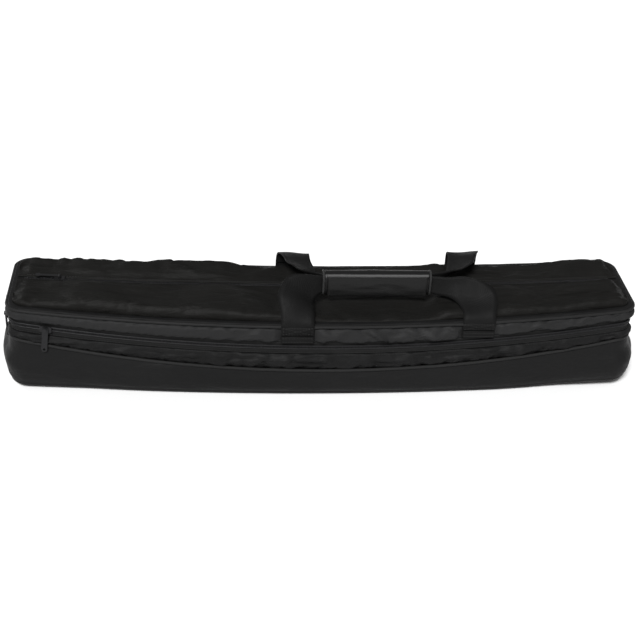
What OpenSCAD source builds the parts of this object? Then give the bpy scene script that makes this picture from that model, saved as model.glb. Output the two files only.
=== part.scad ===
// Padded carry case for a long telescope tube.
// A soft tray and a shallow lid are joined along the back by a cloth hinge. A zip with two
// sliders closes the front and both ends. A flat pocket lies on the lid, and two webbing
// handles meet in a padded wrap above it.
// Millimetres. X runs along the case, the front faces -Y and Z is up.
// The origin is on the resting face, under the middle of the case.

/* [Case] */
// Length between the two end panels
case_len = 950; // [920:5:980]
// Depth of the end panels, front to back
end_depth = 150; // [140:1:160]
// How far the front bows forward at mid length
front_bow = 27; // [20:1:32]
// Height of the lid's top at the ends
end_height = 142; // [140:1:148]
// How far the top sags at mid length
top_sag = 14; // [8:1:15]
// Radius of the upright corners
corner_r = 24; // [20:1:28]

/* [Walls] */
// Thickness of the coated cloth cover
cloth = 1.6; // [1.2:0.1:1.8]
// Thickness of the foam in the tray's walls and floor
foam = 11; // [8:0.5:12]
// Thickness of the lining cloth
lining = 0.8; // [0.6:0.1:1]
// Thickness of the stiffening board under the floor foam
board = 3; // [2:0.5:4]
// Diameter of the piping along the welts
welt = 3; // [2:0.5:3.5]

/* [Zip] */
// Height of the main zip on the end panels
zip_end_z = 115; // [113:1:117]
// How far the main zip dips at mid length
zip_dip = 27; // [20:1:29]
// Height of each half of the zip's coil
coil_h = 2.6; // [2.4:0.1:3]
// Thickness of the zip's coil
coil_t = 2.4; // [2:0.1:2.6]
// Height of the cloth tape that shows beside the coil
tape_h = 9.4; // [8.5:0.1:10]
// Height of the lower welt on the end panels
low_welt_end_z = 90; // [86:1:92]
// Height of the lower welt at mid length
low_welt_mid_z = 48; // [42:1:56]

/* [Pocket] */
// Distance of the pocket's zip behind the case's middle
pocket_zip_y = 24; // [10:1:35]
// Thickness of the pocket's outer cloth
pocket_cloth = 1.2; // [0.8:0.1:1.4]
// Distance of the pocket's edges from the lid's edges
pocket_margin = 7; // [6:1:12]

/* [Handle] */
// Width of the handle webbing
webbing_w = 50; // [40:1:54]
// Thickness of the handle webbing
webbing_t = 2; // [1.4:0.1:2.2]
// Distance of the left straps from the case's middle, to the left
strap_left = 46; // [40:1:50]
// Distance of the right straps from the case's middle, to the right
strap_right = 228; // [222:1:240]
// Length of the padded wrap
grip_len = 160; // [150:1:164]
// Height of the padded wrap
grip_h = 40; // [38:1:44]
// Thickness of the padded wrap, front to back
grip_t = 22; // [20:1:24]
// Gap between the lid and the wrap at rest
grip_gap = 16; // [12:1:24]
// Place of the wrap's middle along the case
grip_x = 76; // [72:1:84]
// Place of the wrap's middle, front to back
grip_y = -25; // [-32:1:-12]

/* [Hidden] */

// Steps in the long front arc and in each corner
arc_steps = 32;
corner_steps = 6;
$fn = 32;

half_len = case_len / 2;
back_y = (end_depth + front_bow) / 2;
arc_end_x = half_len - corner_r;
// Extra reach of the cutting shapes past the case
spare = 20;
// Gap kept between soft parts that only touch
touch = 0.3;

// The back wall, with the hinge in it, starts here. The zip ends before it.
back_zone_y = back_y - corner_r + 2;
zip_back_y = back_zone_y - 4;
// The cloth hinge between tray and lid, above and below its middle line
hinge_half_h = 8;

// Handle webbing lies over the welt
strap_outset = welt - 1 + touch;
grip_z = end_height - top_sag + grip_gap + grip_h / 2;

// Heights and edges that change along the case: 0 at mid length, 1 at the ends
function rise(x) = pow(x / half_len, 2);
function front_y(x) = front_bow * rise(x) - back_y;
top_z = function(x) end_height - top_sag * (1 - rise(x));
zip_z = function(x) zip_end_z - zip_dip * (1 - rise(x));
low_welt_z = function(x) low_welt_end_z - (low_welt_end_z - low_welt_mid_z) * (1 - rise(x));
hinge_line_z = function(x) zip_end_z - top_sag * (1 - rise(x));
// A height function moved up by a fixed amount
function up(height, by) = function(x) height(x) + by;
function flat(height) = function(x) height;

function corner(x, y, r, start) = [
    for (i = [0 : corner_steps])
        [x, y] + r * [cos(start + 90 * i / corner_steps), sin(start + 90 * i / corner_steps)]
];

// Plan outline of the case, moved outwards by outset
function outline(outset) = let (
    r = corner_r + outset,
    front_corner_y = front_y(arc_end_x) + corner_r,
    back_corner_y = back_y - corner_r
) concat(
    corner(-arc_end_x, front_corner_y, r, 180),
    [
        for (i = [1 : arc_steps - 1])
            let (x = arc_end_x * (2 * i / arc_steps - 1))
            [x, front_y(x) - outset]
    ],
    corner(arc_end_x, front_corner_y, r, 270),
    corner(arc_end_x, back_corner_y, r, 0),
    corner(-arc_end_x, back_corner_y, r, 90)
);

// Everything between two heights that follow the case's length
module between(low, high) {
    reach_x = half_len + spare;
    reach_y = back_y + spare;
    xs = [for (i = [0 : arc_steps]) reach_x * (2 * i / arc_steps - 1)];
    low_points = [for (x = xs) [x, low(x)]];
    high_points = [for (i = [arc_steps : -1 : 0]) [xs[i], high(xs[i])]];
    rotate([90, 0, 0])
        linear_extrude(2 * reach_y, center = true)
            polygon(concat(low_points, high_points));
}

// The plan outline as a full block, or as a ring between two outsets
module block(outset) {
    linear_extrude(end_height + spare)
        polygon(outline(outset));
}

module ring(outer, inner) {
    linear_extrude(end_height + spare)
        difference() {
            polygon(outline(outer));
            polygon(outline(inner));
        }
}

// Keeps what lies in front of y, or behind it
module ahead_of(y) {
    intersection() {
        children();
        translate([-half_len - spare, y - 2 * case_len, -spare])
            cube([case_len + 2 * spare, 2 * case_len, case_len]);
    }
}

module behind(y) {
    intersection() {
        children();
        translate([-half_len - spare, y, -spare])
            cube([case_len + 2 * spare, 2 * case_len, case_len]);
    }
}

// Keeps a width along the case, centred at x
module along(x, width) {
    intersection() {
        children();
        translate([x - width / 2, -case_len, -spare])
            cube([width, 2 * case_len, case_len]);
    }
}

// A ring limited in height, for walls, welts, tapes and coils
module wall(outer, inner, low, high) {
    intersection() {
        ring(outer, inner);
        between(low, high);
    }
}

// ---- Tray ----

floor_top_z = cloth + board + foam;
tray_rim = up(zip_z, -coil_h - tape_h);
back_rim = up(hinge_line_z, -hinge_half_h);
// The wall foam and the lining stop this far below the tray's rim
foam_drop = 4;
foam_inset = cloth + touch;
lining_inset = foam_inset + foam + touch;
// Straight run of the wall foam, clear of the corners
foam_run = 2 * arc_end_x;

module tray_cover() {
    color([0.09, 0.09, 0.09])
    union() {
        linear_extrude(cloth)
            polygon(outline(0));
        ahead_of(back_zone_y)
            wall(0, -cloth, flat(cloth), low_welt_z);
        behind(back_zone_y)
            wall(0, -cloth, flat(cloth), back_rim);
    }
}

module base_board() {
    color("dimgray")
    translate([0, 0, cloth])
        linear_extrude(board - touch)
            polygon(outline(-foam_inset));
}

module base_foam() {
    color([0.3, 0.3, 0.32])
    translate([0, 0, cloth + board])
        linear_extrude(foam - touch)
            polygon(outline(-foam_inset));
}

module front_foam() {
    color([0.3, 0.3, 0.32])
    along(0, foam_run)
        ahead_of(0)
            wall(-foam_inset, -foam_inset - foam, flat(floor_top_z), up(tray_rim, -foam_drop));
}

module back_foam() {
    color([0.3, 0.3, 0.32])
    along(0, foam_run)
        behind(0)
            wall(-foam_inset, -foam_inset - foam, flat(floor_top_z), up(back_rim, -foam_drop));
}

module end_foam(side) {
    run = end_depth - 2 * corner_r - 2;
    middle_y = back_y - end_depth / 2;
    height = zip_end_z - coil_h - tape_h - foam_drop - floor_top_z;
    color([0.3, 0.3, 0.32])
    translate([side * (half_len - foam_inset - foam / 2), middle_y, floor_top_z])
        translate([-foam / 2, -run / 2, 0])
            cube([foam, run, height]);
}

module tray_lining() {
    color([0.14, 0.14, 0.15])
    union() {
        translate([0, 0, floor_top_z])
            linear_extrude(lining)
                polygon(outline(-lining_inset));
        ahead_of(back_zone_y)
            wall(-lining_inset, -lining_inset - lining, flat(floor_top_z), up(tray_rim, -foam_drop));
        behind(back_zone_y)
            wall(-lining_inset, -lining_inset - lining, flat(floor_top_z), up(back_rim, -foam_drop));
    }
}

// A hook-and-loop strap that lies across the floor, ready to tie the tube down
tie_strap_w = 38;
tie_strap_t = 1.6;
tie_strap_x = 230;

module tie_strap(side) {
    end_gap = 4;
    margin = lining_inset + lining + end_gap;
    front = -back_y + front_bow * rise(tie_strap_x) + margin;
    color([0.12, 0.12, 0.12])
    translate([side * tie_strap_x - tie_strap_w / 2, front, floor_top_z + lining])
        cube([tie_strap_w, back_y - margin - front, tie_strap_t]);
}

module gusset_strip() {
    color([0.11, 0.11, 0.11])
    ahead_of(back_zone_y)
        wall(0, -cloth, low_welt_z, tray_rim);
}

module lower_welt() {
    color([0.05, 0.05, 0.05])
    ahead_of(back_zone_y)
        wall(welt - 1, 0, up(low_welt_z, -welt), low_welt_z);
}

// The tapes lie a little inside the cover's outer face
tape_inset = 0.4;
tape_t = 0.8;

module lower_zip_tape() {
    color([0.07, 0.07, 0.07])
    ahead_of(zip_back_y)
        wall(-tape_inset, -tape_inset - tape_t, tray_rim, up(zip_z, -coil_h));
}

coil_outset = coil_t - cloth;
half_gap = touch / 2;

module lower_zip_coil() {
    color([0.04, 0.04, 0.04])
    ahead_of(zip_back_y)
        wall(coil_outset, -cloth, up(zip_z, -coil_h), up(zip_z, -half_gap));
}

module hinge_cloth() {
    color([0.09, 0.09, 0.09])
    behind(back_zone_y)
        wall(0, -cloth, back_rim, up(hinge_line_z, hinge_half_h));
}

// A sewn tab over each end of the zip
module zip_tab(side) {
    tab_t = 1;
    tab_w = 9;
    tab_h = 12;
    color([0.06, 0.06, 0.06])
    translate([side * (half_len + touch + tab_t / 2), zip_back_y + 1 + tab_w / 2, zip_end_z])
        cube([tab_t, tab_w, tab_h], center = true);
}

// ---- Lid ----

// The upper tape shows less than the lower one by this much
tape_tuck = 2;
lid_rim = up(zip_z, coil_h + tape_h - tape_tuck);
lid_back_rim = up(hinge_line_z, hinge_half_h);
top_panel_t = 2;
lid_foam_t = 10;

module lid_top_panel() {
    color([0.09, 0.09, 0.09])
    intersection() {
        block(0);
        between(up(top_z, -top_panel_t), top_z);
    }
}

module lid_band() {
    color([0.11, 0.11, 0.11])
    union() {
        ahead_of(back_zone_y)
            wall(0, -cloth, lid_rim, up(top_z, -top_panel_t));
        behind(back_zone_y)
            wall(0, -cloth, lid_back_rim, up(top_z, -top_panel_t));
    }
}

module upper_welt() {
    color([0.05, 0.05, 0.05])
    wall(welt - 1, 0, up(top_z, -top_panel_t - welt), up(top_z, -top_panel_t));
}

module lid_foam() {
    color([0.3, 0.3, 0.32])
    intersection() {
        block(-foam_inset);
        between(up(top_z, -top_panel_t - lid_foam_t), up(top_z, -top_panel_t - touch));
    }
}

module lid_lining() {
    ceiling = up(top_z, -top_panel_t - lid_foam_t - touch);
    color([0.14, 0.14, 0.15])
    intersection() {
        block(-foam_inset);
        between(up(ceiling, -lining), ceiling);
    }
}

module upper_zip_tape() {
    color([0.07, 0.07, 0.07])
    ahead_of(zip_back_y)
        wall(-tape_inset, -tape_inset - tape_t, up(zip_z, coil_h), lid_rim);
}

module upper_zip_coil() {
    color([0.04, 0.04, 0.04])
    ahead_of(zip_back_y)
        wall(coil_outset, -cloth, up(zip_z, half_gap), up(zip_z, coil_h));
}

// ---- Pocket on the lid ----

pocket_tape_w = 26;
pocket_tape_t = 0.8;
pocket_coil_w = 5;
pocket_coil_t = 1.8;
// Gap between the tape's ends and the pocket's ends, and between the coil's ends and the tape's
pocket_end_gap = 10;
pocket_coil_gap = 5;
pocket_tape_len = case_len - 2 * pocket_margin - 2 * pocket_end_gap;
pocket_coil_len = pocket_tape_len - 2 * pocket_coil_gap;
pocket_hem_w = 3;
// The panels' edges stop short of the coil
pocket_slot_w = 18;

module pocket_sheet() {
    intersection() {
        block(-pocket_margin);
        between(up(top_z, pocket_tape_t), up(top_z, pocket_tape_t + pocket_cloth));
    }
}

module pocket_front_panel() {
    color([0.1, 0.1, 0.1])
    ahead_of(pocket_zip_y - pocket_slot_w / 2)
        union() {
            pocket_sheet();
            pocket_hem();
        }
}

module pocket_back_panel() {
    color([0.1, 0.1, 0.1])
    behind(pocket_zip_y + pocket_slot_w / 2)
        union() {
            pocket_sheet();
            pocket_hem();
        }
}

// The sewn edge that joins the pocket's cloth to the lid
module pocket_hem() {
    intersection() {
        ring(-pocket_margin, -pocket_margin - pocket_hem_w);
        between(top_z, up(top_z, pocket_tape_t + pocket_cloth));
    }
}

module pocket_strip(width, length, low, high) {
    intersection() {
        translate([-length / 2, pocket_zip_y - width / 2, 0])
            cube([length, width, end_height + spare]);
        between(low, high);
    }
}

module pocket_zip_tape() {
    color([0.07, 0.07, 0.07])
    pocket_strip(pocket_tape_w, pocket_tape_len, top_z, up(top_z, pocket_tape_t));
}

module pocket_zip_coil() {
    low = up(top_z, pocket_tape_t);
    color([0.04, 0.04, 0.04])
    pocket_strip(pocket_coil_w, pocket_coil_len, low, up(low, pocket_coil_t));
}

// ---- Handles ----

// Height of a strap's sewn hem above the lid's rim, at the front and at the back
front_hem_lift = 0.5;
back_hem_lift = 7;

// The stretch sewn to the lid's front band
module front_strap_end(x) {
    color([0.06, 0.06, 0.06])
    along(x, webbing_w)
        ahead_of(0)
            wall(strap_outset + webbing_t, strap_outset, up(lid_rim, front_hem_lift), top_z);
}

// The stretch sewn to the lid's back, which stands up a little
strap_stand = 8;

module back_strap_end(x) {
    color([0.06, 0.06, 0.06])
    along(x, webbing_w)
        behind(0)
            wall(
                strap_outset + webbing_t,
                strap_outset,
                up(lid_back_rim, back_hem_lift),
                up(top_z, strap_stand)
            );
}

// The free stretch from a sewn end to the wrap's end. Side is -1 for left and 1 for right.
module free_strap(x, side, edge_y, edge_z, grip_edge_y) {
    fold_t = 9;
    fold_back = 5;
    fold_h = grip_h - 8;
    grip_end_gap = 4;
    end_t = 2;
    enters_x = grip_x + side * (grip_len / 2 + grip_end_gap);
    color([0.06, 0.06, 0.06])
    hull() {
        translate([x - webbing_w / 2, edge_y, edge_z])
            cube([webbing_w, webbing_t, end_t / 2]);
        translate([enters_x - end_t / 2, grip_edge_y - fold_back, grip_z - fold_h / 2])
            cube([end_t, fold_t, fold_h]);
    }
}

module front_free_strap(x, side) {
    edge = front_y(x) + front_bow * rise(webbing_w / 2) - strap_outset - webbing_t;
    free_strap(x, side, edge, top_z(abs(x) + webbing_w / 2) + touch, grip_y - 5);
}

module back_free_strap(x, side) {
    edge_z = top_z(abs(x) + webbing_w / 2) + strap_stand + touch;
    free_strap(x, side, back_y + strap_outset, edge_z, grip_y + 6);
}

module stadium(height, width) {
    r = width / 2;
    union() {
        square([width, height - width], center = true);
        translate([0, height / 2 - r])
            circle(r);
        translate([0, r - height / 2])
            circle(r);
    }
}

// A tube or bar along X with the wrap's upright oval section
module bar_along_x(length) {
    translate([grip_x, grip_y, grip_z])
        rotate([90, 0, 90])
            linear_extrude(length, center = true)
                children();
}

wrap_t = 3;

module grip_wrap() {
    color([0.16, 0.16, 0.16])
    bar_along_x(grip_len)
        difference() {
            stadium(grip_h, grip_t);
            stadium(grip_h - 2 * wrap_t, grip_t - 2 * wrap_t);
        }
}

// A rolled edge round each end of the wrap
binding_w = 3;
binding_lip = 1;

module grip_end_bindings() {
    color([0.2, 0.2, 0.2])
    for (side = [-1, 1])
        translate([side * (grip_len + binding_w) / 2, 0, 0])
            bar_along_x(binding_w)
                difference() {
                    stadium(grip_h + binding_lip, grip_t + binding_lip);
                    stadium(grip_h - 2 * wrap_t, grip_t - 2 * wrap_t);
                }
}

// Each webbing is folded lengthways inside the wrap
folded_w = webbing_w / 2 + 1;
folded_t = 5;

module folded_webbing(side) {
    color([0.06, 0.06, 0.06])
    bar_along_x(grip_len)
        translate([side * (folded_t + touch) / 2, 0])
            square([folded_t, folded_w], center = true);
}

// The flap closes over the front of the wrap and opens about its lower edge
flap_len = grip_len - 8;
flap_t = 1.6;
flap_h = grip_h - 6;
strip_t = 0.8;
strip_h = 14;
flap_gap = 2 * strip_t + 2 * touch;
flap_y = grip_y - grip_t / 2 - flap_gap - flap_t;
flap_low_z = grip_z - grip_h / 2 + 4;
strip_len = flap_len - 20;
strip_low_z = grip_z - strip_h / 2 + 1;

module flap_cuboid(length, y, low_z, thick, height) {
    translate([grip_x - length / 2, y, low_z])
        cube([length, thick, height]);
}

module grip_flap() {
    color([0.17, 0.17, 0.17])
    union() {
        flap_cuboid(flap_len, flap_y, flap_low_z, flap_t, flap_h);
        translate([grip_x, flap_y + flap_t / 2, flap_low_z])
            rotate([0, 90, 0])
                cylinder(h = flap_len, r = flap_t / 2, center = true);
    }
}

module flap_binding() {
    binding_r = 1.8;
    color([0.24, 0.24, 0.24])
    translate([grip_x, flap_y + flap_t / 2, flap_low_z + flap_h + binding_r])
        rotate([0, 90, 0])
            cylinder(h = flap_len, r = binding_r, center = true);
}

module hook_strip() {
    color([0.1, 0.1, 0.1])
    flap_cuboid(strip_len, flap_y + flap_t, strip_low_z, strip_t, strip_h);
}

module loop_strip() {
    color([0.1, 0.1, 0.1])
    flap_cuboid(strip_len, grip_y - grip_t / 2 - strip_t, strip_low_z, strip_t, strip_h);
}

// ---- Sliders and pulls ----

// The front run of the zip is an arc in a tilted plane, bowing forward and down
tilt_bow = norm([front_bow, zip_dip]);
arc_r = half_len * half_len / (2 * tilt_bow) + tilt_bow / 2;
arc_out = [0, -front_bow, -zip_dip] / tilt_bow;
arc_middle = [0, front_y(0), zip_z(0)];
arc_centre = arc_middle - arc_r * arc_out;
arc_axis = [0, arc_out[2], -arc_out[1]];
front_slider_x = -418;

// Places children, drawn at mid length facing -Y at the origin, on the front zip at x
module on_front_zip(x) {
    translate(arc_centre)
        rotate(a = asin(x / arc_r), v = arc_axis)
            translate(arc_middle - arc_centre)
                children();
}

end_slider_y = -34;

// Places children, drawn facing -Y at the origin, on the left end panel
module on_left_end(y) {
    translate([-half_len, y, zip_end_z])
        rotate([0, 0, -90])
            children();
}

slider_len = 18;
slider_h = 10;
plate_t = 1.6;
// Gap that lets the lid's half of the coil rise past the slider's plate
plate_gap = 1.4;
plate_outset = coil_outset + plate_gap;
stud_r = 1.5;
stud_clearance = 0.06;
pull_len = 34;
pull_w = 9;
pull_t = 1.6;
pull_gap = 0.4;

// A zip slider facing -Y: outer plate, lower lip, and a headed stud that carries the pull
module slider() {
    stud_len = pull_t + 2 * pull_gap;
    head_r = 3;
    head_t = 1.2;
    lip_margin = 3;
    lip_h = slider_h / 2 - coil_h - 1;
    color([0.2, 0.2, 0.21])
    union() {
        translate([-slider_len / 2 + slider_h / 4, -plate_outset - plate_t, -slider_h / 2])
            cube([slider_len - slider_h / 2, plate_t, slider_h]);
        for (end = [-1, 1], level = [-1, 1])
            translate([
                end * (slider_len / 2 - slider_h / 4),
                -plate_outset,
                level * slider_h / 4
            ])
                rotate([90, 0, 0])
                    cylinder(h = plate_t, r = slider_h / 4);
        translate([-slider_len / 2, -plate_outset - plate_t, -slider_h / 4])
            cube([slider_len, plate_t, slider_h / 2]);
        translate([-slider_len / 2 + lip_margin, -plate_outset - plate_t / 2, -slider_h / 2])
            cube([slider_len - 2 * lip_margin, plate_outset, lip_h]);
        translate([0, -plate_outset - plate_t + touch, 0])
            rotate([90, 0, 0])
                cylinder(h = stud_len + touch, r = stud_r);
        translate([0, -plate_outset - plate_t - stud_len, 0])
            rotate([90, 0, 0])
                cylinder(h = head_t, r = head_r);
    }
}

// A flat pull that hangs from the stud
module hanging_pull() {
    end_hole_r = 2;
    color([0.25, 0.25, 0.26])
    translate([0, -plate_outset - plate_t - pull_gap, 0])
        rotate([90, 0, 0])
            linear_extrude(pull_t)
                difference() {
                    union() {
                        circle(pull_w / 2);
                        translate([-pull_w / 2, -pull_len])
                            square([pull_w, pull_len]);
                        translate([0, -pull_len])
                            circle(pull_w / 2);
                    }
                    circle(stud_r + stud_clearance);
                    translate([0, -pull_len])
                        circle(end_hole_r);
                }
}

module front_slider() {
    on_front_zip(front_slider_x)
        slider();
}

module front_pull() {
    on_front_zip(front_slider_x)
        hanging_pull();
}

module end_slider() {
    on_left_end(end_slider_y)
        slider();
}

module end_pull() {
    on_left_end(end_slider_y)
        hanging_pull();
}

// The pocket's zip sags with the lid, so its slider rides a long arc in an upright plane
pocket_arc_r = half_len * half_len / (2 * top_sag) + top_sag / 2;
pocket_slider_x = -405;
pocket_coil_top = pocket_tape_t + pocket_coil_t;
pocket_base_z = pocket_coil_top + 0.5;
pocket_plate_t = 1.4;
pivot_z = pocket_base_z + 4;
pivot_r = 1;
ear_t = 1.4;
ear_w = 4;
eye_w = 5;
eye_r = 2.2;

module on_pocket_zip(x) {
    centre = [0, pocket_zip_y, top_z(0) + pocket_arc_r];
    translate(centre)
        rotate([0, -asin(x / pocket_arc_r), 0])
            translate([0, 0, -pocket_arc_r])
                children();
}

module pocket_slider() {
    plate_w = 11;
    plate_len = 16;
    ear_y = (eye_w + ear_t + touch) / 2;
    color([0.2, 0.2, 0.21])
    on_pocket_zip(pocket_slider_x)
        union() {
            translate([-plate_len / 2, -plate_w / 2, pocket_base_z])
                cube([plate_len, plate_w, pocket_plate_t]);
            for (side = [-1, 1]) {
                translate([-ear_w / 2, side * ear_y - ear_t / 2, pocket_base_z])
                    cube([ear_w, ear_t, pivot_z - pocket_base_z]);
                translate([0, side * ear_y, pivot_z])
                    rotate([90, 0, 0])
                        cylinder(h = ear_t, r = ear_w / 2, center = true);
            }
            translate([0, 0, pivot_z])
                rotate([90, 0, 0])
                    cylinder(h = eye_w + ear_t, r = pivot_r, center = true);
        }
}

// The pull lies along the zip, and turns over about the pin between the slider's ears
module pocket_pull() {
    pull_reach = 32;
    paddle_t = 1.4;
    paddle_low = -0.2;
    paddle_end_r = 4.5;
    color([0.25, 0.25, 0.26])
    on_pocket_zip(pocket_slider_x)
        translate([0, 0, pivot_z])
            difference() {
                union() {
                    rotate([90, 0, 0])
                        cylinder(h = eye_w, r = eye_r, center = true);
                    translate([-pull_reach, -eye_w / 2, paddle_low])
                        cube([pull_reach, eye_w, paddle_t]);
                    translate([-pull_reach, 0, paddle_low])
                        cylinder(h = paddle_t, r = paddle_end_r);
                }
                rotate([90, 0, 0])
                    cylinder(h = eye_w + 1, r = pivot_r + stud_clearance, center = true);
            }
}

tray_cover();
base_board();
base_foam();
front_foam();
back_foam();
end_foam(-1);  // left_end_foam
end_foam(1);  // right_end_foam
tray_lining();
tie_strap(-1);  // left_tie_strap
tie_strap(1);  // right_tie_strap
gusset_strip();
lower_welt();
lower_zip_tape();
lower_zip_coil();
hinge_cloth();
zip_tab(-1);  // left_zip_tab
zip_tab(1);  // right_zip_tab
lid_top_panel();
lid_band();
upper_welt();
lid_foam();
lid_lining();
upper_zip_tape();
upper_zip_coil();
pocket_front_panel();
pocket_back_panel();
pocket_zip_tape();
pocket_zip_coil();
front_strap_end(-strap_left);  // front_strap_end_left
front_strap_end(strap_right);  // front_strap_end_right
back_strap_end(-strap_left);  // back_strap_end_left
back_strap_end(strap_right);  // back_strap_end_right
front_free_strap(-strap_left, -1);  // front_strap_left
front_free_strap(strap_right, 1);  // front_strap_right
back_free_strap(-strap_left, -1);  // back_strap_left
back_free_strap(strap_right, 1);  // back_strap_right
grip_wrap();
grip_end_bindings();
folded_webbing(-1);  // grip_webbing_front
folded_webbing(1);  // grip_webbing_back
loop_strip();
grip_flap();
flap_binding();
hook_strip();
front_slider();
front_pull();
end_slider();
end_pull();
pocket_slider();
pocket_pull();
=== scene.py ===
import math

import bmesh
import bpy
import numpy as np
from mathutils import Matrix, Vector, noise


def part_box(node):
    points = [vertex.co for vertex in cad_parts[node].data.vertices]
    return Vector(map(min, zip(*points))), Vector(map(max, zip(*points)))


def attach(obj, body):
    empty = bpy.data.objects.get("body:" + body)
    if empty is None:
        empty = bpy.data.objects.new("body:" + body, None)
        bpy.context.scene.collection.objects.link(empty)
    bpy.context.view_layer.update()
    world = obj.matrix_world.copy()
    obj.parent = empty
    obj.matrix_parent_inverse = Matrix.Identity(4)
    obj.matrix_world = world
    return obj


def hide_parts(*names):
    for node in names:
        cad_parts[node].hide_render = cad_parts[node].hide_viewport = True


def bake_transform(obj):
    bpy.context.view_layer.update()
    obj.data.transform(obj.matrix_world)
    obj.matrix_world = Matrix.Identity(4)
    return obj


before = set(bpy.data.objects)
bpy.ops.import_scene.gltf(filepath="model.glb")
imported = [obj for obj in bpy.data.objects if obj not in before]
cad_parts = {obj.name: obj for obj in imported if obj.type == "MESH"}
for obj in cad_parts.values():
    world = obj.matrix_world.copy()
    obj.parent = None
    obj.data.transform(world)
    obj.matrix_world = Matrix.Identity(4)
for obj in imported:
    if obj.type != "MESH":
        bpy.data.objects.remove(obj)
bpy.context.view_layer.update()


def low(node):
    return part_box(node)[0]


def high(node):
    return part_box(node)[1]


# ---------------------------------------------------------------- the case's shape
# Lengths are metres, read from the frame where it holds them.
HALF_LEN = high("tray_cover").x
BACK_Y = high("tray_cover").y
FRONT_BOW = 0.027
CORNER_R = 0.024
END_FLAT_X = HALF_LEN - CORNER_R
TOP_END_Z = high("lid_top_panel").z
PANEL_T = 0.002
TOP_MID_Z = low("lid_top_panel").z + PANEL_T
ZIP_END_Z = high("lower_zip_coil").z
COIL_H = 0.0026
ZIP_MID_Z = low("lower_zip_coil").z + COIL_H
WELT_END_Z = high("lower_welt").z
WELT_SIZE = 0.003
WELT_MID_Z = low("lower_welt").z + WELT_SIZE
RUN_BACK_Y = high("lower_zip_coil").y
BACK_ZONE_Y = high("gusset_strip").y
HINGE_LOW_Z = 0.099
HINGE_HIGH_Z = 0.110
TAPE_H = 0.0094
SEAM_LAP = 0.002
FLOOR_TOP_Z = low("tray_lining").z


def rise(x):
    """0 at mid length and 1 at the ends."""
    return (np.asarray(x) / HALF_LEN) ** 2


def front_y(x):
    return FRONT_BOW * rise(x) - BACK_Y


def top_z(x):
    return TOP_MID_Z + (TOP_END_Z - TOP_MID_Z) * rise(x)


def zip_z(x):
    return ZIP_MID_Z + (ZIP_END_Z - ZIP_MID_Z) * rise(x)


def welt_z(x):
    return WELT_MID_Z + (WELT_END_Z - WELT_MID_Z) * rise(x)


def gusset_top(x):
    """The height where the tray's zip tape meets the gusset strip."""
    return zip_z(x) - COIL_H - TAPE_H


def band_bottom(x):
    """The height where the lid's zip tape meets the lid band."""
    return zip_z(x) + COIL_H + TAPE_H


def plan_loop(spacing):
    """The case's outline seen from above, as points with outward normals. It starts at the middle
    of the back and runs round the left end, the front and the right end to where it started."""
    front_corner = float(front_y(END_FLAT_X)) + CORNER_R
    back_corner = BACK_Y - CORNER_R
    steps = np.linspace(0, 1, 400, endpoint=False)

    def straight(start, end, normal):
        return [(*(np.array(start) * (1 - t) + np.array(end) * t), *normal) for t in steps]

    def corner(x, y, start):
        turns = np.radians(start + 90 * steps)
        return [(x + CORNER_R * c, y + CORNER_R * s, c, s) for c, s in zip(np.cos(turns), np.sin(turns))]

    front_x = END_FLAT_X * (2 * steps - 1)
    slope = 2 * FRONT_BOW * front_x / HALF_LEN ** 2
    size = np.sqrt(1 + slope ** 2)
    points = np.array(
        straight((0, BACK_Y), (-END_FLAT_X, BACK_Y), (0, 1))
        + corner(-END_FLAT_X, back_corner, 90)
        + straight((-HALF_LEN, back_corner), (-HALF_LEN, front_corner), (-1, 0))
        + corner(-END_FLAT_X, front_corner, 180)
        + list(zip(front_x, front_y(front_x), slope / size, -1 / size))
        + corner(END_FLAT_X, front_corner, 270)
        + straight((HALF_LEN, front_corner), (HALF_LEN, back_corner), (1, 0))
        + corner(END_FLAT_X, back_corner, 0)
        + straight((END_FLAT_X, BACK_Y), (0, BACK_Y), (0, 1))
    )
    closed = np.vstack([points, points[:1]])
    travel = np.concatenate([[0], np.cumsum(np.hypot(*np.diff(closed[:, :2], axis=0).T))])
    at = np.linspace(0, travel[-1], round(travel[-1] / spacing), endpoint=False)
    return np.column_stack([np.interp(at, travel, closed[:, k]) for k in range(4)])


def ahead_of(loop, y):
    """The stretch of the loop in front of y: round both ends and along the front."""
    return loop[loop[:, 1] <= y]


def smooth(t):
    """0 below 0, 1 above 1 and an even S between them."""
    t = np.clip(t, 0, 1)
    return t * t * (3 - 2 * t)


def arc(start, end, count):
    """Angles in radians, at even steps between two angles in degrees."""
    return np.radians(np.linspace(start, end, count))


# ---------------------------------------------------------------- mesh helpers
X_AXIS, Y_AXIS, Z_AXIS = (1.0, 0, 0), (0, 1.0, 0), (0, 0, 1.0)
POLE_RINGS = (0, 0.3, 0.6, 0.8, 0.93)


def place_object(name, data):
    """A new object at the origin of the scene."""
    made = bpy.data.objects.new(name, data)
    bpy.context.scene.collection.objects.link(made)
    return made


def add_piece(name, points, faces, material, uvs=None):
    """A mesh object from points and faces, with an optional UV for each point, in metres."""
    mesh = bpy.data.meshes.new(name)
    mesh.from_pydata([tuple(p) for p in np.asarray(points, float)], [], [tuple(f) for f in faces])
    mesh.update()
    if uvs is not None:
        layer = mesh.uv_layers.new(name="UVMap")
        corner_points = np.zeros(len(mesh.loops), int)
        mesh.loops.foreach_get("vertex_index", corner_points)
        layer.data.foreach_set("uv", np.asarray(uvs, float)[corner_points].ravel())
    mesh.polygons.foreach_set("use_smooth", [True] * len(mesh.polygons))
    piece = place_object(name, mesh)
    mesh.materials.append(material)
    return piece


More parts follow.
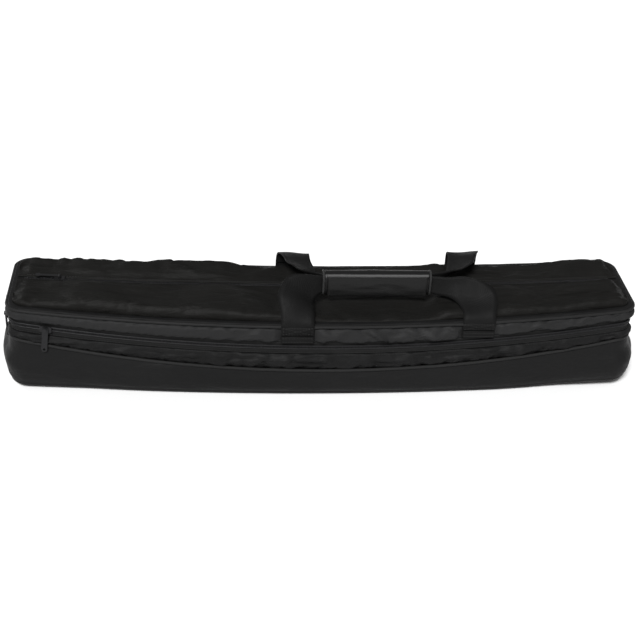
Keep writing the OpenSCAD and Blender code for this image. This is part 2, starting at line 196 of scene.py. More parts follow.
def grid_faces(rows, columns, closed=False):
    """Quads of a grid of points held row by row. They face out where the columns run
    anticlockwise round the case and the rows go up."""
    faces = []
    last = columns if closed else columns - 1
    for r in range(rows - 1):
        for c in range(last):
            a = r * columns + c
            b = r * columns + (c + 1) % columns
            faces.append((a, b, b + columns, a + columns))
    return faces


def grid_uvs(grid):
    """UVs in metres, measured along the columns and up the rows of a grid of points."""
    across = np.linalg.norm(np.diff(grid, axis=1), axis=2).mean(axis=0)
    up = np.linalg.norm(np.diff(grid, axis=0), axis=2).mean(axis=1)
    u = np.concatenate([[0], np.cumsum(across)])
    v = np.concatenate([[0], np.cumsum(up)])
    return np.array([(a, b) for b in v for a in u])


def sheet_piece(name, grid, material, closed=False):
    """A sheet from a grid of points shaped (rows, columns, 3)."""
    rows, columns = grid.shape[:2]
    return add_piece(
        name, grid.reshape(-1, 3), grid_faces(rows, columns, closed), material, grid_uvs(grid)
    )


def ring(loop, outset, z):
    """Points of one ring round the case. The outset and the height may vary along the loop."""
    x = loop[:, 0] + loop[:, 2] * outset
    y = loop[:, 1] + loop[:, 3] * outset
    return np.column_stack([x, y, np.broadcast_to(z, len(loop))])


def wall_grid(loop, rows):
    """Points of a wall. Each row is (outset, height)."""
    return np.array([ring(loop, outset, z) for outset, z in rows])


def climbing_rings(loop, outset, start_z, end_z, count):
    """Rings from one height to another. The first height has its ring already."""
    shares = np.linspace(0, 1, count + 1)[1:]
    return [ring(loop, outset, start_z * (1 - t) + end_z * t) for t in shares]


def same_way(path, direction):
    """One direction, repeated for every point of a path."""
    return np.broadcast_to(direction, path.shape)


def use_modifiers(piece):
    """Turns the piece's modifiers into plain mesh."""
    graph = bpy.context.evaluated_depsgraph_get()
    graph.update()
    made = bpy.data.meshes.new_from_object(piece.evaluated_get(graph))
    old = piece.data
    piece.modifiers.clear()
    piece.data = made
    made.name = piece.name
    bpy.data.meshes.remove(old)
    return piece


def thicken(piece, thickness, outward=0.0):
    """Gives a sheet its thickness, from its outside inwards."""
    solid = piece.modifiers.new("thickness", "SOLIDIFY")
    solid.thickness = thickness
    solid.offset = 2 * outward - 1
    return use_modifiers(piece)


def subdivide(piece):
    finer = piece.modifiers.new("finer", "SUBSURF")
    finer.levels = 1
    finer.render_levels = 1
    return use_modifiers(piece)


def finish_piece(piece, body, nodes=()):
    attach(piece, body)
    if nodes:
        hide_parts(*nodes)
    return piece


def tube_piece(name, path, across, up, section, material, closed_path=False):
    """A tube or bar swept along a path, with capped ends where the path is open. across and up
    are unit vectors at each path point, and the section is (across, up) offsets."""
    grid = np.stack([path + across * a + up * b for a, b in section], axis=1)
    stations, around = grid.shape[:2]
    faces = []
    last = stations if closed_path else stations - 1
    for s in range(last):
        for k in range(around):
            a = s * around + k
            b = s * around + (k + 1) % around
            c = ((s + 1) % stations) * around + (k + 1) % around
            d = ((s + 1) % stations) * around + k
            faces.append((a, d, c, b))
    if not closed_path:
        faces.append(tuple(range(around)))
        faces.append(tuple(reversed([(stations - 1) * around + k for k in range(around)])))
    travel = np.concatenate([[0], np.cumsum(np.linalg.norm(np.diff(path, axis=0), axis=1))])
    edge = np.linalg.norm(np.diff(np.vstack([section, section[:1]]), axis=0), axis=1)
    girth = np.concatenate([[0], np.cumsum(edge)])[:-1]
    uvs = np.array([(t, g) for t in travel for g in girth])
    piece = add_piece(name, grid.reshape(-1, 3), faces, material, uvs)
    make_outward(piece)
    return piece


def merge_doubles(piece, distance=1e-5, outward=False):
    """Merges the points of a pole or a seam. outward also turns a closed piece's faces outwards."""
    work = bmesh.new()
    work.from_mesh(piece.data)
    bmesh.ops.remove_doubles(work, verts=work.verts, dist=distance)
    if outward:
        bmesh.ops.recalc_face_normals(work, faces=work.faces)
    work.to_mesh(piece.data)
    work.free()
    return piece


def make_outward(piece):
    return merge_doubles(piece, distance=1e-6, outward=True)


def round_section(radius, sides=10, flat=1.0):
    angles = np.linspace(0, 2 * np.pi, sides, endpoint=False)
    return np.column_stack([radius * np.cos(angles), radius * flat * np.sin(angles)])


def strip_section(width, thickness):
    """A flat strip with softened edges: across is its width and up is its thickness."""
    w, t = width / 2, thickness / 2
    edge = 0.4 * thickness
    lower = [(-w, -t + edge), (-w + edge, -t), (w - edge, -t), (w, -t + edge)]
    upper = [(-a, -b) for a, b in lower]
    return np.array(lower + upper)


def pillow_piece(name, lo, hi, edge, material):
    """A soft-edged block between two corners, with rounded edges of the given radius."""
    work = bmesh.new()
    bmesh.ops.create_cube(work, size=1)
    size = [b - a for a, b in zip(lo, hi)]
    middle = [(a + b) / 2 for a, b in zip(lo, hi)]
    for v in work.verts:
        v.co = Vector([c * s + m for c, s, m in zip(v.co, size, middle)])
    bmesh.ops.bevel(work, geom=work.edges[:], offset=edge, segments=3, affect="EDGES", profile=0.5)
    mesh = bpy.data.meshes.new(name)
    work.to_mesh(mesh)
    work.free()
    mesh.polygons.foreach_set("use_smooth", [True] * len(mesh.polygons))
    piece = place_object(name, mesh)
    mesh.materials.append(material)
    box_uvs(piece)
    return piece


def box_uvs(piece):
    """UVs in metres, each face seen along its own main direction."""
    mesh = piece.data
    layer = mesh.uv_layers.new(name="UVMap")
    for face in mesh.polygons:
        main = max(range(3), key=lambda k: abs(face.normal[k]))
        a, b = [k for k in range(3) if k != main]
        for corner in face.loop_indices:
            co = mesh.vertices[mesh.loops[corner].vertex_index].co
            layer.data[corner].uv = (co[a], co[b])


# ---------------------------------------------------------------- cloth simulation
CRUMPLE_FRAMES = 18
CLOTH_NATURE = {
    "quality": 6,
    "mass": 0.2,
    "tension_stiffness": 30,
    "compression_stiffness": 30,
    "shear_stiffness": 10,
    "bending_stiffness": 6.0,
    "air_damping": 4,
    "vertex_group_mass": "held",
    "pin_stiffness": 1,
    "use_pressure": True,
}


def crumple(piece, held, slack, pressure, cap):
    """Lets a sheet sewn along its edges fall into real creases. held is a weight for each point:
    1 is sewn fast. slack is the share of spare cloth, and cap the furthest that a point moves."""
    group = piece.vertex_groups.new(name="held")
    for index, weight in enumerate(held):
        if weight > 0:
            group.add([index], float(weight), "REPLACE")
    rest = np.array([v.co for v in piece.data.vertices])
    cloth = piece.modifiers.new("cloth", "CLOTH")
    settings = cloth.settings
    for label, value in CLOTH_NATURE.items():
        setattr(settings, label, value)
    settings.shrink_min = -slack
    settings.uniform_pressure_force = pressure
    settings.effector_weights.gravity = 0
    cloth.collision_settings.use_collision = False
    scene = bpy.context.scene
    cloth.point_cache.frame_start = 1
    cloth.point_cache.frame_end = CRUMPLE_FRAMES
    for step in range(1, CRUMPLE_FRAMES + 1):
        scene.frame_set(step)
    graph = bpy.context.evaluated_depsgraph_get()
    settled = np.array([v.co for v in piece.evaluated_get(graph).data.vertices])
    piece.modifiers.clear()
    piece.vertex_groups.clear()
    scene.frame_set(1)
    move = settled - rest
    size = np.linalg.norm(move, axis=1, keepdims=True)
    move *= np.where(size > cap, cap / np.maximum(size, 1e-9), 1)
    piece.data.vertices.foreach_set("co", (rest + move).ravel())
    piece.data.update()
    return piece


# ---------------------------------------------------------------- materials
class Tree:
    """A short way to add and join nodes."""

    def __init__(self, tree):
        self.tree = tree

    def add(self, kind, inputs=None, **settings):
        node = self.tree.nodes.new(kind)
        for name, value in settings.items():
            setattr(node, name, value)
        for name, value in (inputs or {}).items():
            self.give(node.inputs[name], value)
        return node

    def give(self, socket, value):
        if isinstance(value, bpy.types.NodeSocket):
            self.tree.links.new(value, socket)
        else:
            socket.default_value = value

    def math(self, operation, a, b=0.0):
        return self.add("ShaderNodeMath", {0: a, 1: b}, operation=operation).outputs[0]

    def vector(self, operation, inputs):
        return self.add("ShaderNodeVectorMath", inputs, operation=operation).outputs[0]

    def mix(self, factor, a, b):
        node = self.add("ShaderNodeMix", data_type="RGBA")
        self.give(node.inputs[0], factor)
        self.give(node.inputs[6], a)
        self.give(node.inputs[7], b)
        return node.outputs[2]

    def between(self, value, from_low, from_high, to_low, to_high):
        ends = {"From Min": from_low, "From Max": from_high, "To Min": to_low, "To Max": to_high}
        return self.add("ShaderNodeMapRange", {"Value": value, **ends}).outputs["Result"]

    def noise(self, vector, scale, detail=3.0, roughness=0.55):
        nature = {"Vector": vector, "Scale": scale, "Detail": detail, "Roughness": roughness}
        return self.add("ShaderNodeTexNoise", nature).outputs["Fac"]


def new_group(name, inputs, outputs):
    """A shader node group with named sockets. inputs and outputs map a name to (kind, default)."""
    tree = bpy.data.node_groups.new(name, "ShaderNodeTree")
    kinds = {"value": "NodeSocketFloat", "vector": "NodeSocketVector", "colour": "NodeSocketColor"}
    for label, (kind, default) in inputs.items():
        socket = tree.interface.new_socket(label, in_out="INPUT", socket_type=kinds[kind])
        if default is not None:
            socket.default_value = default
    for label, kind in outputs.items():
        tree.interface.new_socket(label, in_out="OUTPUT", socket_type=kinds[kind])
    t = Tree(tree)
    return tree, t, t.add("NodeGroupInput").outputs, t.add("NodeGroupOutput").inputs


def weave_group():
    """Over-and-under threads on a flat position, as a height and as the gaps between threads."""
    tree, t, inp, out = new_group(
        "weave",
        {"Place": ("vector", None), "Threads per metre": ("value", 900.0), "Unevenness": ("value", 0.3)},
        {"Height": "value", "Gaps": "value"},
    )
    place = t.vector("SCALE", {0: inp["Place"], 3: inp["Threads per metre"]})
    drift = t.add("ShaderNodeTexNoise", {"Vector": place, "Scale": 0.11, "Detail": 1.0})
    uneven = t.vector("SCALE", {0: drift.outputs["Color"], 3: inp["Unevenness"]})
    moved = t.vector("ADD", {0: place, 1: uneven})
    axes = t.add("ShaderNodeSeparateXYZ", {0: moved})
    warp = t.math("SINE", t.math("MULTIPLY", axes.outputs[0], math.pi))
    weft = t.math("SINE", t.math("MULTIPLY", axes.outputs[1], math.pi))
    over = t.math("MULTIPLY", warp, weft)
    t.give(out["Height"], t.between(over, -1, 1, 0, 1))
    gaps = t.math("MULTIPLY", t.math("ABSOLUTE", warp), t.math("ABSOLUTE", weft))
    t.give(out["Gaps"], t.between(gaps, 0, 0.35, 1, 0))
    return tree


def crinkle_group():
    """Fine creases that cloth keeps after handling: a ridged height and its folds."""
    tree, t, inp, out = new_group(
        "crinkle",
        {"Place": ("vector", None), "Creases per metre": ("value", 30.0), "Sharpness": ("value", 0.5)},
        {"Height": "value", "Folds": "value"},
    )
    bend = t.add("ShaderNodeTexNoise", {"Vector": inp["Place"], "Scale": 14.0, "Detail": 2.0})
    shift = t.vector("SCALE", {0: bend.outputs["Color"], 3: 0.03})
    place = t.vector("ADD", {0: inp["Place"], 1: shift})
    broad = t.noise(place, inp["Creases per metre"], 4.0, inp["Sharpness"])
    ridge = t.math("ABSOLUTE", t.math("SUBTRACT", broad, 0.5))
    folds = t.between(ridge, 0, 0.09, 1, 0)
    t.give(out["Height"], t.math("ADD", t.math("MULTIPLY", ridge, 1.6), t.math("MULTIPLY", broad, 0.5)))
    t.give(out["Folds"], folds)
    return tree


def handling_group():
    """Where hands and shelves leave their mark: a slow drift in tone and a trace of dust."""
    tree, t, inp, out = new_group(
        "handling",
        {"Place": ("vector", None), "Drift": ("value", 0.3), "Dust": ("value", 0.2)},
        {"Tone": "value", "Dust": "value"},
    )
    slow = t.noise(inp["Place"], 7.0, 2.0)
    drift = t.math("MULTIPLY", t.math("SUBTRACT", slow, 0.5), inp["Drift"])
    t.give(out["Tone"], t.math("ADD", 1.0, drift))
    specks = t.noise(inp["Place"], 420.0, 2.0, 0.7)
    patches = t.noise(inp["Place"], 18.0, 3.0)
    dust = t.math("MULTIPLY", t.between(specks, 0.55, 0.75, 0, 1), t.between(patches, 0.4, 0.7, 0, 1))
    t.give(out["Dust"], t.math("MULTIPLY", dust, inp["Dust"]))
    return tree


GROUPS = {"weave": weave_group(), "crinkle": crinkle_group(), "handling": handling_group()}


def new_material(name, **sockets):
    """A material with its Principled shader. sockets are the shader's own constant values."""
    material = bpy.data.materials.new(name)
    material.use_nodes = True
    t = Tree(material.node_tree)
    shader = material.node_tree.nodes["Principled BSDF"]
    for label, value in sockets.items():
        shader.inputs[label.replace("_", " ")].default_value = value
    return material, t, shader


def place_group(t, name, inputs):
    node = t.add("ShaderNodeGroup")
    node.node_tree = GROUPS[name]
    for label, value in inputs.items():
        t.give(node.inputs[label], value)
    return node.outputs


def scaled(colour, factor):
    return (colour[0] * factor, colour[1] * factor, colour[2] * factor, 1)


FINE_THREADS = 1500
CLOTH_DUST = 0.04
DUST_COLOUR = (0.12, 0.12, 0.115, 1)


def cloth_material(
    name, colour, crease, crease_depth, roughness=0.5, threads=FINE_THREADS, sheen=0.0,
    weave_depth=0.00012, stretch=1.0,
):
    """Woven cloth on the piece's own UVs, with creases, a slow drift in tone and dust. threads and
    crease are counts for each metre. A stretch below 1 draws the creases out along the case."""
    material, t, shader = new_material(
        name, Sheen_Weight=sheen, Sheen_Roughness=0.5, Specular_IOR_Level=0.06
    )
    uv = t.add("ShaderNodeTexCoord").outputs
    weave = place_group(t, "weave", {"Place": uv["UV"], "Threads per metre": threads, "Unevenness": 0.5})
    drawn = t.vector("MULTIPLY", {0: uv["Object"], 1: (stretch, 1, 1)})
    crinkle = place_group(t, "crinkle", {"Place": drawn, "Creases per metre": crease, "Sharpness": 0.55})
    handling = place_group(t, "handling", {"Place": uv["Object"], "Drift": 0.35, "Dust": CLOTH_DUST})
    thread = t.mix(weave["Gaps"], scaled(colour, 1.15), scaled(colour, 0.55))
    toned = t.vector("SCALE", {0: thread, 3: handling["Tone"]})
    t.give(shader.inputs["Base Color"], t.mix(handling["Dust"], toned, DUST_COLOUR))
    worn = t.math("MULTIPLY", crinkle["Folds"], -0.08)
    rough = t.math("ADD", roughness, t.math("ADD", worn, t.math("MULTIPLY", weave["Gaps"], 0.12)))
    t.give(shader.inputs["Roughness"], rough)
    fine = t.add("ShaderNodeBump", {"Height": weave["Height"], "Distance": weave_depth, "Strength": 0.8})
    broad = t.add(
        "ShaderNodeBump", {"Height": crinkle["Height"], "Distance": crease_depth, "Normal": fine.outputs[0]}
    )
    t.give(shader.inputs["Normal"], broad.outputs[0])
    return material


NYLON = cloth_material("cover_nylon", (0.0095, 0.0095, 0.0096), 34, 0.0030, stretch=0.22)
# Painted shade: the top panels' cloth is a darker, slightly browner copy of the cover nylon, offsetting the
# stronger light the top gets.
TOP_NYLON_PAINTED_DARKER = cloth_material("top_nylon", (0.0084, 0.0082, 0.0077), 34, 0.0032, stretch=0.22)
# Painted light: the lid band's cloth is a lighter copy of the cover nylon, standing in for the light its
# front-facing rim catches.
BAND_NYLON_PAINTED_LIGHTER = cloth_material("band_nylon", (0.0185, 0.0185, 0.0188), 26, 0.0016, stretch=0.3)
# Painted highlight: the piping is painted lighter than the cover, standing in for the light along its ridge.
PIPING_PAINTED_HIGHLIGHT = cloth_material("piping_cloth", (0.0165, 0.0165, 0.0165), 60, 0.0003, 0.45)
LINING = cloth_material("lining_cloth", (0.02, 0.02, 0.022), 26, 0.001, 0.85, threads=700, sheen=0.2)
# Painted light: the zip tape is painted lighter than the cover, offsetting the shade in its recess.
ZIP_TAPE_PAINTED_LIGHTER = cloth_material("zip_tape_cloth", (0.0125, 0.0125, 0.0125), 40, 0.0003, threads=1300)
WEBBING = cloth_material(
    "webbing_weave", (0.0075, 0.0075, 0.0075), 30, 0.0010, threads=620, weave_depth=0.0003
)
# Painted highlight: the binding along the flap's top is painted much lighter, standing in for the bright
# light along it.
WRAP_BINDING_PAINTED_HIGHLIGHT = cloth_material("wrap_binding_cloth", (0.075, 0.075, 0.075), 70, 0.0004, 0.3)
# Painted highlight: the end bindings are a dimmer copy of the top binding, still painted lighter than the
# vinyl for the light along them.
WRAP_EDGE_PAINTED_HIGHLIGHT = cloth_material("wrap_edge_cloth", (0.03, 0.03, 0.03), 70, 0.0004, 0.3)


def plain_material(name, colour, roughness, grain, grain_size, metallic=0.0, variety=0.15, gloss=0.2):
    """A material with a fine grain: grain is its depth and grain_size its size, in metres."""
    material, t, shader = new_material(name, Metallic=metallic, Specular_IOR_Level=gloss)
    place = t.add("ShaderNodeTexCoord").outputs["Object"]
    handling = place_group(t, "handling", {"Place": place, "Drift": 0.3, "Dust": 0.05})
    cells = t.add("ShaderNodeTexVoronoi", {"Vector": place, "Scale": 1 / grain_size}, feature="F1")
    speckle = t.between(cells.outputs["Distance"], 0, 0.7, 1 + variety, 1 - variety)
    tone = t.math("MULTIPLY", speckle, handling["Tone"])
    toned = t.vector("SCALE", {0: colour, 3: tone})
    t.give(shader.inputs["Base Color"], toned)
    t.give(shader.inputs["Roughness"], t.math("ADD", roughness, t.math("MULTIPLY", handling["Dust"], 2.0)))
    bump = t.add("ShaderNodeBump", {"Height": cells.outputs["Distance"], "Distance": grain, "Strength": 0.7})
    t.give(shader.inputs["Normal"], bump.outputs[0])
    return material


VINYL = plain_material("wrap_vinyl", (0.006, 0.006, 0.006), 0.36, 0.00035, 0.0016, gloss=0.22)
FOAM = plain_material("pad_foam", (0.055, 0.055, 0.06), 0.95, 0.0004, 0.0009)
BOARD = plain_material("base_board", (0.16, 0.15, 0.14), 0.8, 0.0002, 0.003)
# Painted light: the coil is painted lighter than the cover, offsetting the shade in the zip's recess.
COIL_PAINTED_LIGHTER = plain_material("coil_nylon", (0.014, 0.014, 0.015), 0.34, 0.0001, 0.002)
THREAD = plain_material("sewing_thread", (0.018, 0.018, 0.018), 0.5, 0.0001, 0.0006)
FUZZ = plain_material("hook_and_loop", (0.012, 0.012, 0.012), 0.9, 0.0007, 0.0011, variety=0.5)
METAL = plain_material("black_metal", (0.016, 0.016, 0.017), 0.38, 0.00003, 0.0012, metallic=0.4)


# ---------------------------------------------------------------- repeats along a path
def repeat_group():
    """Geometry nodes that copy a small shape along a path at an even pitch, with its X along the
    path and its Z along the path's own outward vectors."""
    tree = bpy.data.node_groups.new("repeat_along_path", "GeometryNodeTree")
    kinds = {
        "Path": "NodeSocketGeometry", "Shape": "NodeSocketObject", "Pitch": "NodeSocketFloat",
        "Turn": "NodeSocketFloat", "Seed": "NodeSocketInt", "Material": "NodeSocketMaterial",
    }
    for label, kind in kinds.items():
        tree.interface.new_socket(label, in_out="INPUT", socket_type=kind)
    tree.interface.new_socket("Result", in_out="OUTPUT", socket_type="NodeSocketGeometry")
    t = Tree(tree)
    inp = t.add("NodeGroupInput").outputs
    curve = t.add("GeometryNodeMeshToCurve", {"Mesh": inp["Path"]})
    spaced = t.add(
        "GeometryNodeResampleCurve", {"Curve": curve.outputs[0], "Length": inp["Pitch"]}, mode="LENGTH"
    )
    outward = t.add("GeometryNodeInputNamedAttribute", {"Name": "outward"}, data_type="FLOAT_VECTOR")
    tangent = t.add("GeometryNodeInputTangent")
    ahead = t.add("FunctionNodeAlignRotationToVector", {"Vector": tangent.outputs[0]}, axis="X")
    turned = t.add(
        "FunctionNodeAlignRotationToVector",
        {"Rotation": ahead.outputs[0], "Vector": outward.outputs[0]},
        axis="Z", pivot_axis="X",
    )
    spread = t.add("FunctionNodeRandomValue", {"Seed": inp["Seed"]}, data_type="FLOAT")
    angle = t.math("MULTIPLY", t.math("SUBTRACT", spread.outputs[1], 0.5), inp["Turn"])
    twist = t.add("ShaderNodeCombineXYZ", {2: angle})
    twisted = t.add(
        "FunctionNodeRotateRotation",
        {"Rotation": turned.outputs[0], "Rotate By": twist.outputs[0]},
        rotation_space="LOCAL",
    )
    shape = t.add("GeometryNodeObjectInfo", {"Object": inp["Shape"]})
    copies = t.add(
        "GeometryNodeInstanceOnPoints",
        {"Points": spaced.outputs[0], "Instance": shape.outputs["Geometry"], "Rotation": twisted.outputs[0]},
    )
    real = t.add("GeometryNodeRealizeInstances", {"Geometry": copies.outputs[0]})
    coated = t.add("GeometryNodeSetMaterial", {"Geometry": real.outputs[0], "Material": inp["Material"]})
    t.add("NodeGroupOutput", {"Result": coated.outputs[0]})
    return tree


REPEAT = repeat_group()


def small_shape(name, length, width, height, taper=0.6):
    """A short bar with narrowed ends: length along X, width along Y and height along Z."""
    sides = 6
    section = round_section(0.5, sides)
    points = []
    for x, k in ((-0.5, taper), (-0.28, 1), (0.28, 1), (0.5, taper)):
        points += [(x * length, a * width * k, b * height * k) for a, b in section]
    last = len(points) - sides
    faces = [tuple(reversed(range(sides))), tuple(range(last, last + sides))]
    for first in range(0, last, sides):
        for k in range(sides):
            a, b = first + k, first + (k + 1) % sides
            faces.append((a, b, b + sides, a + sides))
    return make_outward(add_piece(name, points, faces, THREAD))


STITCH = small_shape("stitch_shape", length=0.0032, width=0.0008, height=0.0008)
TOOTH = small_shape("tooth_shape", length=0.0011, width=0.0026, height=0.0019, taper=0.75)


def repeat_piece(name, lines, shape, pitch, material, turn=0.0, seed=1):
    """Copies of a shape along lines. Each line is (points, outward vectors)."""
    points = np.vstack([line[0] for line in lines])
    normals = np.vstack([np.broadcast_to(line[1], line[0].shape) for line in lines])
    edges = []
    first = 0
    for line, _ in lines:
        edges += [(first + k, first + k + 1) for k in range(len(line) - 1)]
        first += len(line)
    mesh = bpy.data.meshes.new(name)
    mesh.from_pydata([tuple(p) for p in points], edges, [])
    outward = mesh.attributes.new("outward", "FLOAT_VECTOR", "POINT")
    outward.data.foreach_set("vector", np.asarray(normals, float).ravel())
    piece = place_object(name, mesh)
    repeat = piece.modifiers.new("repeat", "NODES")
    repeat.node_group = REPEAT
    values = {"Shape": shape, "Pitch": pitch, "Turn": turn, "Seed": seed, "Material": material}
    for item in REPEAT.interface.items_tree:
        if item.in_out == "INPUT" and item.name in values:
            repeat[item.identifier] = values[item.name]
    return use_modifiers(piece)


def loop_line(loop, outset, z):
    """A line round the case and its outward vectors."""
    outward = np.column_stack([loop[:, 2], loop[:, 3], np.zeros(len(loop))])
    return ring(loop, outset, z), outward


# ---------------------------------------------------------------- surface relief
def wobble(points, size, seed=0.0, octaves=2):
    """Smooth random values between about -1 and 1, with features of the given size in metres.
    size may differ along X, Y and Z."""
    points = np.asarray(points, float)
    at = points.reshape(-1, 3) / np.asarray(size) + seed
    values = [noise.fractal(Vector(p), 1.0, 2.0, octaves) for p in at]
    return np.array(values).reshape(points.shape[:-1])


def folds(points, size, seed=0.0):
    """Rounded ridges and sharp valleys, from 0 to about 1."""
    return 1 - np.minimum(np.abs(wobble(points, size, seed, 3)) * 2.6, 1)


STRAP_X = (
    (low("front_strap_end_left").x + high("front_strap_end_left").x) / 2,
    (low("front_strap_end_right").x + high("front_strap_end_right").x) / 2,
)
STRAP_W = high("front_strap_end_left").x - low("front_strap_end_left").x


def under_strap(x):
    """1 where a handle strap is sewn down and 0 clear of it."""
    margin = 0.012
    near = [smooth((STRAP_W / 2 + margin - np.abs(x - at)) / margin) for at in STRAP_X]
    return np.maximum(*near)


def firm_cloth(x, loop):
    """How far a loose strip is held by its padding: more towards the left, and most on the ends."""
    left_hold, end_hold = 0.6, 0.9
    left = left_hold * smooth((-0.10 - x) / 0.12)
    return np.maximum(left, end_hold * at_ends(loop))


def push_out(grid, normals, amount):
    """Moves a grid's points along the loop's outward normals."""
    grid[:, :, 0] += normals[:, 2] * amount
    grid[:, :, 1] += normals[:, 3] * amount
    return grid


LOOP = plan_loop(0.005)
END_SWELL = 0.0075
LIFT_FROM_X = 0.26
RIGHT_LIFT = 0.0105
LEFT_LIFT_SHARE = 0.35
PUSH_FROM_X = 0.34
PUSH_REACH = 0.125
RIGHT_PUSH = 0.008
LEFT_PUSH = 0.0045


def end_lift(x):
    """The soft case's ends curl a little off the ground, the right one more."""
    reach = smooth((np.abs(x) - LIFT_FROM_X) / (HALF_LEN - LIFT_FROM_X))
    return RIGHT_LIFT * reach * np.where(x > 0, 1.0, LEFT_LIFT_SHARE)


def end_push(x):
    """How much further out the tray's lower corners stand than its welt: the right end more."""
    return smooth((np.abs(x) - PUSH_FROM_X) / PUSH_REACH) * np.where(x > 0, RIGHT_PUSH, LEFT_PUSH)


def at_ends(loop):
    """1 in the middle of the two end panels, and 0 from their corners on."""
    fade = 0.04
    from_front = loop[:, 1] - (float(front_y(END_FLAT_X)) + CORNER_R / 2)
    from_back = BACK_Y - CORNER_R / 2 - loop[:, 1]
    return smooth(from_front / fade) * smooth(from_back / fade) * np.abs(loop[:, 2])


def at_back(loop):
    """0 on the front and ends, and 1 in the back wall, past the ends of the zip."""
    fade = 0.008
    return smooth((loop[:, 1] - (BACK_ZONE_Y - fade / 2)) / fade)


def mixed(loop, front, back):
    """One value on the front and the ends, and another in the back wall."""
    k = at_back(loop)
    return front * (1 - k) + back * k


def scaled_rows(loop, outset, factors, height):
    """Rings of points that shrink towards the middle. height is a function of x and y."""
    base = ring(loop, outset, 0)
    rows = []
    for factor in factors:
        row = base * (factor, factor, 1)
        row[:, 2] = height(row[:, 0], row[:, 1])
        rows.append(row)
    return rows


# ---------------------------------------------------------------- tray
COVER_T = 0.0016
TAPE_T = 0.0008
LINING_T = 0.0006
TOOTH_PITCH = 0.0021
STITCH_PITCH = 0.0042
STITCH_GAP = 0.002


def tray_top(loop):
    return mixed(loop, welt_z(loop[:, 0]), HINGE_LOW_Z)


def build_tray_cover():
    """The outer shell: a closed floor, a rounded bottom edge and a soft wall up to the welt."""
    bottom_r = 0.008
    edge_rows, wall_rows = 6, 14
    belly_depth, dent_depth, pucker_depth = 0.0055, 0.0030, 0.0009
    loop = LOOP
    x = loop[:, 0]
    lift = end_lift(x)
    rows = scaled_rows(loop, -bottom_r, POLE_RINGS, lambda x, y: end_lift(x))
    for a in arc(0, 90, edge_rows):
        rows.append(ring(loop, bottom_r * (np.sin(a) - 1), bottom_r * (1 - np.cos(a)) + lift))
    rows += climbing_rings(loop, 0, bottom_r + lift, tray_top(loop), wall_rows)
    grid = np.array(rows)
    floor_rows = len(POLE_RINGS) + edge_rows - 1
    share = np.concatenate([np.zeros(floor_rows), np.linspace(0, 1, wall_rows + 1)])[:, None]
    depth = belly_depth * (1 - 0.7 * at_back(loop)) + END_SWELL * at_ends(loop)
    slack_top = 1 - 0.75 * smooth((share - 0.5) / 0.4) * at_ends(loop) * (x < 0)
    belly = depth * slack_top * np.sin(np.pi * share ** 0.75) ** 0.8
    dents = dent_depth * wobble(grid, (0.11, 0.08, 0.035), 3.1) * np.sin(np.pi * share) * slack_top
    near_welt = smooth((share - 0.75) / 0.2) * (share < 0.99)
    puckers = pucker_depth * near_welt * wobble(grid, (0.013, 0.013, 0.03), 8.0, 1)
    spread = np.concatenate([POLE_RINGS, np.ones(len(rows) - len(POLE_RINGS))])[:, None]
    square = spread * end_push(x) * (1 - smooth((share - 0.4) / 0.35))
    push_out(grid, loop, belly + dents + puckers + square)
    piece = sheet_piece("tray_cover.skin", grid, NYLON, closed=True)
    pinned = (share <= 0.02) | (share > 0.97)
    held = np.broadcast_to(pinned, grid.shape[:2]).ravel().astype(float)
    crumple(piece, held, slack=0.018, pressure=0.6, cap=0.005)
    merge_doubles(piece)
    thicken(piece, COVER_T)
    finish_piece(piece, "tray", ["tray_cover"])


def build_gusset():
    """The loose strip between the welt and the zip, with long folds and a groove at the welt."""
    rows = 10
    groove_depth, groove_share = 0.0016, 0.16
    loop = ahead_of(LOOP, BACK_ZONE_Y)
    x = loop[:, 0]
    low_z, high_z = welt_z(x), gusset_top(x)
    share = np.linspace(0, 1, rows + 1)[:, None]
    grid = wall_grid(loop, [(0, low_z * (1 - t) + high_z * t) for t in share[:, 0]])
    swell = np.sin(np.pi * share)
    lengthwise = 0.004 * folds(grid, (0.2, 0.2, 0.014), 5.5)
    crosswise = 0.0022 * wobble(grid, (0.03, 0.03, 0.05), 2.2)
    groove = groove_depth * smooth((groove_share - share) / groove_share)
    fullness = 1 - 0.75 * at_ends(loop)
    push_out(grid, loop, fullness * swell * (0.003 + lengthwise + crosswise) - groove)
    piece = sheet_piece("gusset_strip.cloth", grid, NYLON)
    held = np.maximum((share < 0.02) | (share > 0.98), firm_cloth(x, loop))
    crumple(piece, held.ravel(), slack=0.03, pressure=1.0, cap=0.007)
    thicken(piece, COVER_T)
    finish_piece(piece, "tray", ["gusset_strip"])


def welt_piece(name, loop, z, body, nodes, closed=False):
    """Piping along a seam: a cord inside folded cloth, so it runs a little unevenly."""
    radius, outset, unevenness = 0.0025, 0.0012, 0.0004
    points, across = loop_line(loop, outset, z)
    points[:, 2] += unevenness * wobble(points, 0.02, 4.0, 1)
    up = same_way(points, Z_AXIS)
    # The piping cloth is painted lighter, as a painted highlight on the welt.
    piece = tube_piece(name, points, across, up, round_section(radius), PIPING_PAINTED_HIGHLIGHT, closed)
    finish_piece(piece, body, nodes)


